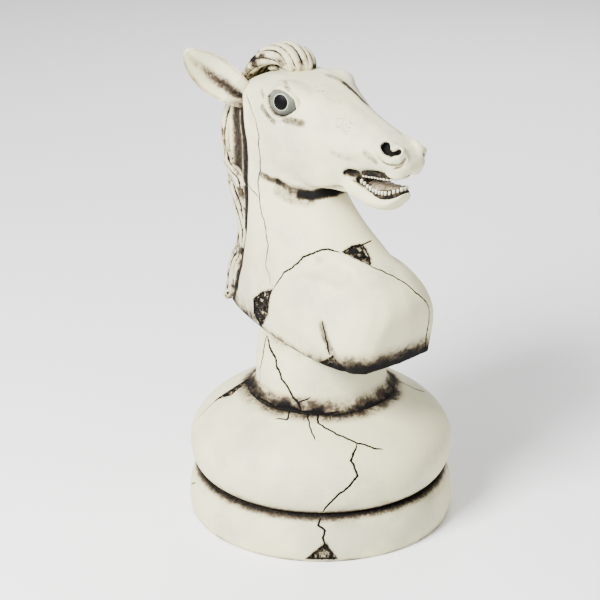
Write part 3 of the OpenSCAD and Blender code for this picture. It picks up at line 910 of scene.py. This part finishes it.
def darken_lower_edge(skin, floor_z):
    """Darker above the bust's lower edge, most of all at the front, in patches"""
    height = skin.at[:, 2] / MM - floor_z
    patch = speckle(skin, 34, 5)
    front = ramp(skin.at[:, 0] / MM, 60, 200)
    side = np.clip(1 - height / (20 + 34 * front), 0, 1)
    skin.stain(np.clip(side * (0.34 + 0.9 * patch + 0.62 * front), 0, 1.2))
    skin.stain(np.clip(1 - np.abs(height - 1) / 4, 0, 1), 0.9)
    back = ramp(-skin.at[:, 0] / MM, 60, 130)
    skin.stain(np.clip(1 - height / 52, 0, 1) * back * (0.45 + patch), 1.0)
    middle = 1 - np.clip(np.abs(skin.at[:, 0] / MM - 40) / 90, 0, 1)
    skin.stain(np.clip(1 - height / 40, 0, 1) * middle * np.clip(patch * 2 - 0.6, 0, 1), 1.0)


def split_horse(mesh, coat):
    """Cuts the carved horse into its two moulded halves along the joint"""
    whole = Surface(mesh)
    smooth = whole.normals()
    lookup = KDTree(len(whole.at))
    for i, spot in enumerate(whole.at):
        lookup.insert(spot, i)
    lookup.balance()
    halves = {}
    for side, s in SIDES.items():
        bm = bmesh.new()
        bm.from_mesh(mesh)
        everything = bm.verts[:] + bm.edges[:] + bm.faces[:]
        cut = bmesh.ops.bisect_plane(bm, geom=everything, plane_co=(0, 0, 0), plane_no=(0, -s, 0),
                                     clear_outer=True)
        rim = [e for e in cut["geom_cut"] if isinstance(e, bmesh.types.BMEdge)]
        inner = bmesh.ops.holes_fill(bm, edges=rim, sides=0)["faces"]
        bm.faces.index_update()
        flat = {f.index for f in inner}
        half = bpy.data.meshes.new("skin_" + side)
        bm.to_mesh(half)
        bm.free()
        piece = new_object("horse_" + side + "_half", half, coat)
        loops = []
        for face in half.polygons:
            for index in face.vertices:
                if face.index in flat:
                    loops.append((0.0, -float(s), 0.0))
                else:
                    loops.append(tuple(smooth[lookup.find(half.vertices[index].co)[1]]))
        half.normals_split_custom_set(loops)
        halves[side] = piece
    return halves


def make_horse():
    paint = settings("paint")
    mesh = horse_clay()
    details = [Vector((EYE[0] + 8, s * (EYE[1] + EYE_R), EYE[2])) * MM for s in (-1, 1)]
    details += [Vector((206, s * 32, 752)) * MM for s in (-1, 1)]
    refine(mesh, ((0.045, 0.0022),), lambda co: min((co - d).length for d in details))
    skin = Surface(mesh)
    floor_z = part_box("bust_right")[0][2] / MM
    soft = np.clip((skin.at[:, 2] / MM - floor_z - 8) / 24, 0.0, 1)
    crest = ramp(-skin.at[:, 0] / MM, 130, 200) * ramp(-skin.at[:, 2] / MM, -620, -480)
    soft = soft * (1 - 0.9 * crest)
    skin.smooth(14, 0.55, soft)
    carve_head(skin)
    carve_body(skin)
    skin.smooth(3, 0.4, soft)
    # Wash and painted shade in the horse's hollows
    skin.hollows(10, 0.55)
    darken_lower_edge(skin, floor_z)
    skin.complete()
    cut_cracks(mesh, HORSE_CRACKS, HORSE_CHIPS)
    coat = material("ivory_skin", antique_paint, paint.ivory[:])
    for side, piece in split_horse(mesh, coat).items():
        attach(piece, "root")
        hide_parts("bust_" + side, "lower_jaw")


def make_eyes():
    for side, s in SIDES.items():
        bm = bmesh.new()
        bmesh.ops.create_uvsphere(bm, u_segments=64, v_segments=48, radius=EYE_R * MM)
        gaze = Vector((GAZE[0], s * GAZE[1], GAZE[2])).normalized()
        ring = bm.verts.layers.float.new("ring")
        for v in bm.verts:
            angle = math.degrees(v.co.angle(Vector((0, 0, 1))))
            v[ring] = angle / 90
            v.co *= 1 + 0.012 * math.exp(-(angle / 24) ** 4)
        turn = Vector((0, 0, 1)).rotation_difference(gaze).to_matrix().to_4x4()
        centre = Vector((EYE[0], s * EYE[1], EYE[2])) * MM
        bmesh.ops.transform(bm, matrix=Matrix.Translation(centre) @ turn, verts=bm.verts)
        mesh = bpy.data.meshes.new(side + "_eyeball")
        bm.to_mesh(mesh)
        bm.free()
        piece = new_object(side + "_eyeball", mesh, material("eye_paint", eye_paint))
        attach(piece, "root")
        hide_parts(side + "_eye")


def eye_paint(name):
    """Grey eye, pale ring and black pupil, by the layer ring"""
    g = Graph(name)
    ring = g.layer("ring")
    cloud = g.noise(90.0, 4.0)
    grey = g.mix(cloud.step(0.3, 0.7), settings("paint").eye[:], (0.13, 0.135, 0.105))
    rim = ring.step(0.252, 0.260) * (1.0 - ring.step(0.272, 0.284))
    colour = g.mix(rim, grey, (0.42, 0.42, 0.32))
    colour = g.mix(1.0 - ring.step(0.246, 0.256), colour, (0.001, 0.001, 0.0012))
    return g.finish(colour, 0.42 + cloud * 0.1, cloud, 0.05, 0.0005, Specular_IOR_Level=0.06)


# Ears from root to tip: x, y, z, half width, depth
EARS = {
    "right": ([(-144, -50, 778, 20, 14), (-166, -70, 798, 31, 17), (-190, -93, 822, 35, 17),
               (-208, -111, 842, 28, 13), (-221, -122, 857, 16, 8), (-228, -128, 866, 4, 2)],
              (0.24, 0.56, 0.71)),
    "left": ([(-144, 50, 778, 20, 14), (-170, 67, 793, 31, 17), (-195, 85, 811, 35, 17),
              (-213, 99, 825, 28, 13), (-224, 107, 833, 16, 8), (-231, 113, 839, 4, 2)],
             (0.24, -0.56, 0.71)),
}


def make_ears():
    """Cupped ears: round behind and hollow in front"""
    for side, s in SIDES.items():
        rows, wide = EARS[side]
        steps, sides = 70, 64
        path = curve_through(rows, steps)
        wide = np.array(wide)
        at, cup_shade_and_wash = [], []
        for i, row in enumerate(path):
            way = path[min(i + 1, steps)][:3] - path[max(i - 1, 0)][:3]
            way /= np.linalg.norm(way)
            across = wide - (wide @ way) * way
            across /= np.linalg.norm(across)
            face = np.cross(across, way) * (-s)
            open_by = math.sin(math.pi * min(1, max(0, (i / steps - 0.20) / 0.80))) ** 0.45
            for k in range(sides):
                t = 2 * math.pi * k / sides
                x, y = math.cos(t), math.sin(t)
                arch = math.sqrt(max(0.0, 1 - x * x))
                curl = 0.5 * row[4] * x * x
                if y < 0:
                    lift = -row[4] * arch
                else:
                    lift = arch * ((1 - open_by) * 0.6 * row[4] - open_by * max(0.0, row[4] - 4.5))
                at.append(row[:3] + row[3] * x * across + (lift + curl) * face)
                # Share of painted shade and wash inside the cup, most down its lower middle and along the inner rims
                cup_shade_and_wash.append((y > 0) * math.exp(-((x + 0.10) / 0.36) ** 2) * (1.15 - 0.95 * i / steps)
                           + 0.40 * (y > 0) * math.exp(-((abs(x) - 0.9) / 0.10) ** 2))
        faces = [(j * sides + k, j * sides + (k + 1) % sides, (j + 1) * sides + (k + 1) % sides,
                  (j + 1) * sides + k) for j in range(steps) for k in range(sides)]
        faces += [tuple(range(sides))[::-1], tuple(range(steps * sides, (steps + 1) * sides))]
        mesh = bpy.data.meshes.new(side + "_ear")
        mesh.from_pydata((np.array(at) * MM).tolist(), [], faces)
        bm = bmesh.new()
        bm.from_mesh(mesh)
        bmesh.ops.recalc_face_normals(bm, faces=bm.faces)
        bm.to_mesh(mesh)
        bm.free()
        ear = Surface(mesh)
        patch = speckle(ear, 60, 3)
        # Painted shade and wash in the ear's cup; below, darker towards the root
        ear.stain(np.array(cup_shade_and_wash) * np.clip(0.75 + 0.5 * patch, 0, 1.2))
        share = np.repeat(np.linspace(0, 1, steps + 1), sides)
        ear.stain(np.clip(1 - share / 0.22, 0, 1), 0.9)
        uneven(ear, 0.9, 40, 2)
        ear.complete()
        piece = new_object(side + "_cupped_ear", mesh, material("ivory_skin", antique_paint,
                                                                settings("paint").ivory[:]))
        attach(piece, "root")
        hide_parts(side + "_ear")


def finish_hair(mesh, name, node, gain=1.0):
    hair = Surface(mesh)
    hair.smooth(2, 0.4)
    # Wash and painted shade in the grooves between the strands and the locks
    hair.hollows(5, 4.5 * gain)
    hair.hollows(14, 1.9 * gain)
    patch = speckle(hair, 30, 9)
    hair.stain(np.clip(patch - 0.42, 0, 1) * 2.4)
    hair.complete()
    piece = new_object(name, mesh, material("hair_paint", antique_paint, settings("paint").hair[:]))
    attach(piece, "root")
    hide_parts(node)


# Locks of the forelock: x, y, z, half width, half height
FORELOCK = [
    [(-196, -16, 778, 10, 8), (-176, -24, 812, 13, 10), (-144, -30, 842, 14, 12), (-112, -30, 858, 14, 14),
     (-84, -26, 862, 14, 13), (-64, -22, 850, 11, 9), (-58, -20, 840, 6, 5)],
    [(-196, -4, 784, 10, 8), (-172, -10, 826, 14, 11), (-138, -14, 856, 15, 13), (-104, -14, 870, 16, 14),
     (-72, -12, 868, 15, 13), (-52, -10, 852, 12, 10), (-48, -8, 840, 7, 6)],
    [(-190, 12, 788, 10, 8), (-164, 10, 830, 14, 11), (-128, 8, 860, 15, 13), (-94, 6, 872, 16, 14),
     (-64, 6, 866, 15, 13), (-46, 6, 850, 11, 10), (-42, 6, 838, 6, 5)],
    [(-184, 26, 786, 10, 8), (-156, 28, 824, 13, 10), (-122, 28, 850, 14, 12), (-88, 26, 862, 14, 13),
     (-60, 24, 856, 12, 11), (-46, 20, 842, 7, 6)],
    [(-178, -34, 784, 8, 6), (-154, -42, 808, 11, 8), (-126, -44, 826, 12, 9), (-100, -40, 836, 9, 7),
     (-86, -34, 838, 5, 4)],
    [(-120, 0, 836, 24, 12), (-92, 0, 846, 26, 15), (-68, 0, 846, 22, 12), (-56, 0, 842, 10, 8)],
]


def make_forelock():
    bm = bmesh.new()
    for n, rows in enumerate(FORELOCK):
        add_lock(bm, rows, strands=4, twist=1.5, depth=0.28, seed=n * 1.9)
    finish_hair(remeshed(bm, 0.0016, "forelock_locks"), "forelock_locks", "forelock")


def make_mane(horse_tree):
    """Long wavy locks that fall over the right side of the crest, each overlapping the next"""
    low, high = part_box("mane")
    bottom, top = low[2] / MM + 6, high[2] / MM - 16
    count = 9
    bm = bmesh.new()

    def on_neck(y, z):
        hit = horse_tree.ray_cast(Vector((-0.5, y * MM, z * MM)), Vector((1, 0, 0)))[0]
        return hit.x / MM if hit else None

    for n in range(count):
        start = top - (top - bottom - 70) * n / (count - 1)
        length = 118
        rows = []
        for i in range(8):
            share = i / 7
            z = max(bottom, start - length * share)
            spread = min(1.0, max(0.35, (z - 345) / 170))
            fall = 0.22 + 0.62 * share ** 0.8 + 0.10 * math.sin(share * 5.2 + n * 2.3)
            y = -4 - 60 * fall * spread
            x = on_neck(y, z)
            if x is None:
                continue
            fat = math.sin(math.pi * (0.10 + 0.84 * share)) ** 0.8
            rows.append((x + 3 - 5 * fat, y, z, (4 + 17 * fat) * (0.55 + 0.45 * spread), 4 + 8 * fat))
        if n == count - 1:
            rows += [(-238, -20, bottom + 8, 17, 10), (-246, -22, bottom - 5, 14, 9)]
        if len(rows) > 3:
            add_lock(bm, rows, wide=(0.80, -0.60, 0), strands=5, twist=0.5, depth=0.26, seed=n * 1.3, steps=44)
    finish_hair(remeshed(bm, 0.0018, "mane_locks"), "mane_locks", "mane", 1.2)


def bevelled_box(bm, centre, size, turn, round_by):
    placed = (Matrix.Translation(Vector(centre) * MM) @ Matrix.Rotation(turn, 4, "Z")
              @ Matrix.Diagonal((size[0] * MM, size[1] * MM, size[2] * MM, 1)))
    made = bmesh.ops.create_cube(bm, size=1.0, matrix=placed)["verts"]
    edges = list(dict.fromkeys(e for v in made for e in v.link_edges))
    bmesh.ops.bevel(bm, geom=edges, offset=round_by * MM, segments=3, affect="EDGES", profile=0.5)


def arch_point(share, reach, half):
    """Point and direction on a horseshoe of half width half and straight sides reach, share from -1 to 1"""
    bow = half * math.pi / 2
    at = share * (bow + reach)
    if abs(at) < bow:
        turn = at / half
        return half * math.cos(turn), half * math.sin(turn), turn
    return bow - abs(at), math.copysign(half, at), math.copysign(math.pi / 2, at)


def make_teeth():
    """A row of small rounded teeth on a gum for each jaw, following the curve of the lip"""
    rows = {
        "upper": dict(front=184, half=25, reach=54, count=26, tall=5.5, gum=704, tooth=699.5, bow=0.0, tilt=0.12),
        "lower": dict(front=182, half=24, reach=58, count=26, tall=8, gum=664, tooth=670.5, bow=0.0062, tilt=0.0),
    }
    for jaw, r in rows.items():
        def rise(x, r=r):
            return r["tilt"] * (x - r["front"]) + r["bow"] * (x - 168) ** 2

        bm = bmesh.new()
        for i in range(r["count"]):
            share = (2 * i + 1) / r["count"] - 1
            x, y, turn = arch_point(share, r["reach"], r["half"])
            x += r["front"]
            wobble = math.sin(i * 2.7)
            bevelled_box(bm, (x, y, r["tooth"] + rise(x) + wobble * 0.3),
                         (4.6, 4.7 + wobble * 0.4, r["tall"] + wobble * 0.6), turn, 1.4)
        mesh = bpy.data.meshes.new(jaw + "_teeth")
        bm.to_mesh(mesh)
        bm.free()
        teeth = Surface(mesh)
        root = np.abs(teeth.at[:, 2] / MM - r["gum"] - rise(teeth.at[:, 0] / MM))
        teeth.stain(np.clip(1.1 - root / 6, 0, 1), 1.0)
        teeth.complete()
        piece = new_object(jaw + "_tooth_row", mesh, material("tooth_paint", antique_paint, (0.70, 0.66, 0.50)))
        bm = bmesh.new()
        points = []
        for i in range(25):
            x, y, _ = arch_point(i / 12 - 1, r["reach"], r["half"] - 1)
            x += r["front"]
            points.append((x, y, r["gum"] + rise(x), 5.0, 5.5))
        add_lock(bm, points, wide=(0, 0, 1), steps=70, sides=16, strands=2, twist=0, depth=0.05)
        gum = remeshed(bm, 0.0015, jaw + "_gum")
        flesh = Surface(gum)
        flesh.smooth(3)
        uneven(flesh, 1.2, 160, 4)
        flesh.stain(np.clip(0.75 + speckle(flesh, 120, 2) * 0.5, 0, 1.2))
        flesh.complete()
        strip = new_object(jaw + "_gum_strip", gum, material("mouth_paint", antique_paint, (0.42, 0.34, 0.25)))
        for thing, kind in ((piece, "teeth_resin"), (strip, "mouth_resin")):
            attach(thing, "root")
            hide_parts(jaw + "_teeth")


def make_tongue():
    bm = bmesh.new()
    rows = [(130, 0, 672, 15, 7), (150, 0, 673, 18, 7), (172, 0, 675, 17, 6), (190, 0, 679, 13, 5),
            (199, 0, 680, 4, 2)]
    add_lock(bm, rows, strands=2, twist=0, depth=0.2, seed=math.pi)
    mesh = remeshed(bm, 0.0015, "tongue_form")
    tongue = Surface(mesh)
    tongue.smooth(3)
    uneven(tongue, 0.8, 120, 6)
    tongue.stain(0.35 + 0.4 * speckle(tongue, 90, 4))
    tongue.complete()
    piece = new_object("tongue_form", mesh, material("mouth_paint", antique_paint, (0.42, 0.34, 0.25)))
    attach(piece, "root")
    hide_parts("tongue")


# ---------------------------------------------------------------- base

# Cracks of the base, then its chip: the same form as the horse's
# Cracks and chips of the base: turning points as (degrees round from the horse's nose, height), strength
CUSHION_CRACKS = [
    ("round", [(-57, 246), (-45, 240), (-34, 228), (-24, 216), (-17, 208), (-12, 202)], 0.85),
    ("round", [(-24, 216), (-29, 195), (-27, 170), (-31, 152), (-36, 134), (-40, 110), (-42, 92)], 1.0),
    ("round", [(-57, 246), (-50, 236), (-46, 222)], 0.55),
    ("round", [(-60, 246), (-66, 240), (-74, 238)], 0.7),
    ("round", [(-57, 246), (-48, 244), (-36, 242)], 0.6),
    ("round", [(-130, 243), (-130, 225), (-128, 205), (-127, 180)], 0.9),
    ("round", [(55, 243), (53, 230), (58, 215)], 0.8),
    ("round", [(158, 240), (155, 210), (156, 180), (154, 140)], 0.8),
]
CUSHION_CHIPS = [("round", [(-130, 244), (-134, 232), (-130, 214), (-125, 230)], 5)]
STEM_CRACKS = [
    ("round", [(-130, 347), (-122, 330), (-112, 300), (-112, 262)], 0.7),
    ("round", [(-128, 347), (-110, 332), (-90, 315), (-76, 290), (-68, 268), (-58, 251)], 1.1),
    ("round", [(-58, 251), (-48, 253), (-40, 251)], 0.7),
    ("round", [(-58, 251), (-70, 255), (-80, 251)], 0.7),
    ("round", [(-58, 250), (-62, 262), (-52, 272)], 0.5),
    ("round", [(-58, 252), (-82, 249), (-104, 251)], 0.9),
    ("round", [(-58, 252), (-44, 249), (-28, 251)], 0.8),
]
FOOT_CRACKS = [
    ("round", [(-43, 87), (-44, 76), (-41, 66), (-42, 52), (-41, 40)], 0.95),
    ("round", [(-118, 70), (-124, 52), (-126, 30)], 0.5),
]
FOOT_CHIPS = [("round", [(-41, 42), (-45, 24), (-49, 7), (-36, 7), (-38, 22)], 8)]


def finish_base(mesh, name, node, routes, seed, chips=()):
    cut_cracks(mesh, routes, chips, seed)
    piece = new_object(name, mesh, material("ivory_base", antique_paint, settings("paint").ivory[:],
                                            (1.0, 1.0, 5.0), 0.05))
    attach(piece, "root")
    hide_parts(node)


def make_foot_ring():
    low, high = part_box("foot_ring")
    z0, z1, r = low[2] / MM, high[2] / MM, high[0] / MM
    wall = 7
    lip, ledge, joint = 205, 175, 198
    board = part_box("base_board")[1][2] / MM
    round_out = [(r - 25 + 25 * math.cos(math.radians(t)), 32 + 57 * math.sin(math.radians(t)))
                 for t in np.linspace(-32, 72, 26)]
    outline = [(lip, z0), (r - 8, z0)] + round_out + [
        (r - 19.5, z1 - 1), (r - 25, z1), (joint, z1), (joint, z1 - wall), (r - 30, z1 - wall),
        (r - 16, z1 - 24), (r - 12, board + wall), (ledge, board + wall), (ledge, board), (r - 11, board),
        (r - 12, z0 + wall), (lip, z0 + wall)]
    mesh = revolve("foot_moulding", spaced(outline, 4.5), 400)
    ring = Surface(mesh)
    uneven(ring, 0.8, 9, 1)
    radius = np.linalg.norm(ring.at[:, :2], axis=1) / MM
    height = ring.at[:, 2] / MM
    outside = np.clip((radius - 214) / 10, 0, 1)
    patch = speckle(ring, 22, 7)
    ring.stain(outside * np.clip((height - z1 + 15) / 13, 0, 1), 1.0)
    ring.stain(outside * np.clip((height - z1 + 30) / 30, 0, 1) * np.clip(patch * 1.5 - 0.3, 0, 1), 0.75)
    ring.stain(outside * np.clip(1 - (height - z0) / 9, 0, 1) * np.clip(patch * 1.4 - 0.2, 0, 1), 0.7)
    ring.complete()
    finish_base(mesh, "foot_moulding", "foot_ring", FOOT_CRACKS, 31, FOOT_CHIPS)


def make_cushion():
    low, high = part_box("base_cushion")
    z0, z1, r = low[2] / MM, high[2] / MM, high[0] / MM
    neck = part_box("stem")[1][0] / MM
    side = bend((225, z0), (239, z0 + 8), (r, z0 + 28), (r, 140), 16)
    shoulder = bend((r, 140), (r, 178), (212, 214), (neck, z1), 40)
    outline = side + shoulder[1:] + [(95, z1), (95, z1 - 7), (neck - 16, z1 - 7), (r - 60, 200), (r - 12, 150),
                                     (r - 14, 110), (r - 26, z0 + 7), (198, z0 + 7), (198, z0)]
    mesh = revolve("cushion_moulding", spaced(outline, 5.0), 400)
    ring = Surface(mesh)
    uneven(ring, 1.2, 7, 2)
    radius = np.linalg.norm(ring.at[:, :2], axis=1) / MM
    height = ring.at[:, 2] / MM
    patch = speckle(ring, 20, 3)
    outside = np.clip((radius - 100) / 10, 0, 1)
    ring.stain(outside * np.clip((z0 + 16 - height) / 14, 0, 1), 1.0)
    ring.stain(outside * np.clip((z0 + 30 - height) / 26, 0, 1) * np.clip(patch * 1.5 - 0.25, 0, 1), 0.8)
    near_stem = np.clip(1 - (radius - neck) / 22, 0, 1) * np.clip((height - z1 + 30) / 8, 0, 1)
    ring.stain(near_stem ** 0.8 * np.clip(0.45 + patch * 0.8, 0, 1), 1.0)
    ring.complete()
    finish_base(mesh, "cushion_moulding", "base_cushion", CUSHION_CRACKS, 57, CUSHION_CHIPS)


def make_stem():
    """The CAD stem, remeshed fine enough to take the foot's mottled wash and the cracks"""
    low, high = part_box("stem")
    z0, z1 = low[2] / MM, high[2] / MM
    bm = bmesh.new()
    bm.from_mesh(frame["nodes"]["stem"].data)
    bmesh.ops.remove_doubles(bm, verts=bm.verts, dist=1e-5)
    mesh = remeshed(bm, 0.0028, "stem_moulding")
    stem = Surface(mesh)
    stem.smooth(6, 0.5)
    uneven(stem, 1.1, 11, 5)
    height = stem.at[:, 2] / MM
    patch = speckle(stem, 30, 8)
    stem.stain(np.clip(1 - (height - z0) / 34, 0, 1) ** 0.8 * np.clip(0.55 + 0.9 * patch, 0, 1.3), 1.1)
    stem.stain(np.clip(1 - (height - z0) / 14, 0, 1), 1.15)
    stem.stain(np.clip((height - z1 + 22) / 22, 0, 1) * np.clip(patch + 0.1, 0, 1), 0.7)
    stem.complete()
    finish_base(mesh, "stem_moulding", "stem", STEM_CRACKS, 83)


# ---------------------------------------------------------------- fittings and stage

FINISHES = {
    "zinc_steel": ((0.52, 0.54, 0.56), (0.38, 0.39, 0.40), 0.38, 40.0, 1.0),
    "brass": ((0.72, 0.54, 0.24), (0.50, 0.36, 0.15), 0.32, 50.0, 1.0),
    "foot_rubber": ((0.035, 0.035, 0.036), (0.07, 0.07, 0.07), 0.80, 60.0, 0.0),
    "seal_rubber": ((0.02, 0.02, 0.02), (0.05, 0.05, 0.05), 0.70, 60.0, 0.0),
    "plug_plastic": ((0.05, 0.05, 0.052), (0.09, 0.09, 0.09), 0.45, 70.0, 0.0),
    "dry_sand": ((0.62, 0.50, 0.32), (0.44, 0.34, 0.21), 0.90, 300.0, 0.0),
    "ivory_resin": ((0.72, 0.69, 0.58), (0.52, 0.48, 0.38), 0.60, 20.0, 0.0),
}


def paint_fittings():
    """Materials for the CAD nodes that stay as they are"""
    for row in frame["record"]["subparts"]:
        node, kind = row["node"], row["material_slot"]
        if kind in ("plywood", "dowel_wood"):
            coat = material(kind, plain_finish, (0.50, 0.34, 0.19), (0.33, 0.21, 0.11), 0.62, 14.0, 0.0,
                            (1.0, 9.0, 9.0))
        elif kind in FINISHES:
            colour, second, rough, scale, metal = FINISHES[kind]
            coat = material(kind, plain_finish, colour, second, rough, scale, metal)
        else:
            continue
        mesh = frame["nodes"][node].data
        mesh.materials.clear()
        mesh.materials.append(coat)


def make_stage():
    stage = settings("stage")
    bpy.ops.mesh.primitive_plane_add(size=14)
    floor = bpy.context.object
    floor.name = "floor"
    g = Graph("floor_paper")
    tone = g.mix(g.noise(2.0, 3.0), stage.floor[:], tuple(0.985 * c for c in stage.floor))
    floor.data.materials.append(g.finish(tone, 0.9))
    world = bpy.context.scene.world or bpy.data.worlds.new("World")
    bpy.context.scene.world = world
    world.use_nodes = True
    world.node_tree.nodes["Background"].inputs[0].default_value = (1, 1, 1, 1)
    world.node_tree.nodes["Background"].inputs[1].default_value = 0.62
    lights = (("key", (0.3, -3.0, 2.9), 1.5, 640.0), ("fill", (3.6, 0.4, 1.6), 2.4, 24.0),
              ("back", (-1.8, 2.8, 2.8), 2.4, 110.0))
    target = Vector((0, 0, 0.45))
    for name, place, size, power in lights:
        lamp = bpy.data.lights.new(name, "AREA")
        lamp.size = size
        lamp.energy = power
        thing = bpy.data.objects.new(name, lamp)
        thing.location = place
        thing.rotation_euler = (target - Vector(place)).to_track_quat("-Z", "Y").to_euler()
        bpy.context.scene.collection.objects.link(thing)
    camera = bpy.data.cameras.new("camera")
    camera.lens = stage.lens
    camera.sensor_width = 36
    camera.clip_end = 50
    eye = bpy.data.objects.new("camera", camera)
    eye.location = (math.sin(stage.azimuth) * stage.distance, -math.cos(stage.azimuth) * stage.distance,
                    stage.height)
    eye.rotation_euler = (math.pi / 2 - stage.pitch, 0, stage.azimuth + stage.yaw)
    bpy.context.scene.collection.objects.link(eye)
    bpy.context.scene.camera = eye


# ---------------------------------------------------------------- add-on

class KNIGHT_OT_stage(bpy.types.Operator):
    """Sets the floor, the lights and the camera"""
    bl_idname = "knight.stage"
    bl_label = "Stage"

    def execute(self, context):
        make_stage()
        return {"FINISHED"}


class KNIGHT_OT_horse(bpy.types.Operator):
    """Carves the two halves of the horse, with its lower jaw"""
    bl_idname = "knight.horse"
    bl_label = "Horse"

    def execute(self, context):
        make_horse()
        return {"FINISHED"}


class KNIGHT_OT_eyes(bpy.types.Operator):
    """Makes both eyes"""
    bl_idname = "knight.eyes"
    bl_label = "Eyes"

    def execute(self, context):
        make_eyes()
        return {"FINISHED"}


class KNIGHT_OT_ears(bpy.types.Operator):
    """Makes both ears"""
    bl_idname = "knight.ears"
    bl_label = "Ears"

    def execute(self, context):
        make_ears()
        return {"FINISHED"}


class KNIGHT_OT_hair(bpy.types.Operator):
    """Makes the forelock and the mane"""
    bl_idname = "knight.hair"
    bl_label = "Mane and Forelock"

    def execute(self, context):
        make_forelock()
        make_mane(surface_tree(bpy.data.objects["horse_right_half"].data))
        return {"FINISHED"}


class KNIGHT_OT_mouth(bpy.types.Operator):
    """Makes the teeth, the gums and the tongue"""
    bl_idname = "knight.mouth"
    bl_label = "Mouth"

    def execute(self, context):
        make_teeth()
        make_tongue()
        return {"FINISHED"}


class KNIGHT_OT_base(bpy.types.Operator):
    """Makes the foot ring, the cushion and the stem"""
    bl_idname = "knight.base"
    bl_label = "Base"

    def execute(self, context):
        make_foot_ring()
        make_cushion()
        make_stem()
        return {"FINISHED"}


class KNIGHT_OT_fittings(bpy.types.Operator):
    """Gives the core, the board and the fittings their finishes"""
    bl_idname = "knight.fittings"
    bl_label = "Fittings"

    def execute(self, context):
        paint_fittings()
        return {"FINISHED"}


STEPS = (KNIGHT_OT_stage, KNIGHT_OT_horse, KNIGHT_OT_eyes, KNIGHT_OT_ears, KNIGHT_OT_hair,
         KNIGHT_OT_mouth, KNIGHT_OT_base, KNIGHT_OT_fittings)
GROUPS = {"paint": PaintSettings, "carving": CarvingSettings, "stage": StageSettings}


class KNIGHT_PT_panel(bpy.types.Panel):
    """Lists the build steps and their settings"""
    bl_label = "Giant Knight"
    bl_idname = "KNIGHT_PT_panel"
    bl_space_type = "VIEW_3D"
    bl_region_type = "UI"
    bl_category = "Knight"

    def draw(self, context):
        for name, group in GROUPS.items():
            box = self.layout.box()
            for key in group.__annotations__:
                box.prop(getattr(context.scene, "knight_" + name), key)
        for step in STEPS:
            self.layout.operator(step.bl_idname)


def register():
    for cls in (*GROUPS.values(), *STEPS, KNIGHT_PT_panel):
        bpy.utils.register_class(cls)
    for name, group in GROUPS.items():
        setattr(bpy.types.Scene, "knight_" + name, bpy.props.PointerProperty(type=group))


def unregister():
    for name in GROUPS:
        delattr(bpy.types.Scene, "knight_" + name)
    for cls in (KNIGHT_PT_panel, *reversed(STEPS), *reversed(GROUPS.values())):
        bpy.utils.unregister_class(cls)


def main():
    register()
    for step in STEPS:
        space, name = step.bl_idname.split(".")
        getattr(getattr(bpy.ops, space), name)()


if __name__ == "__main__":
    main()
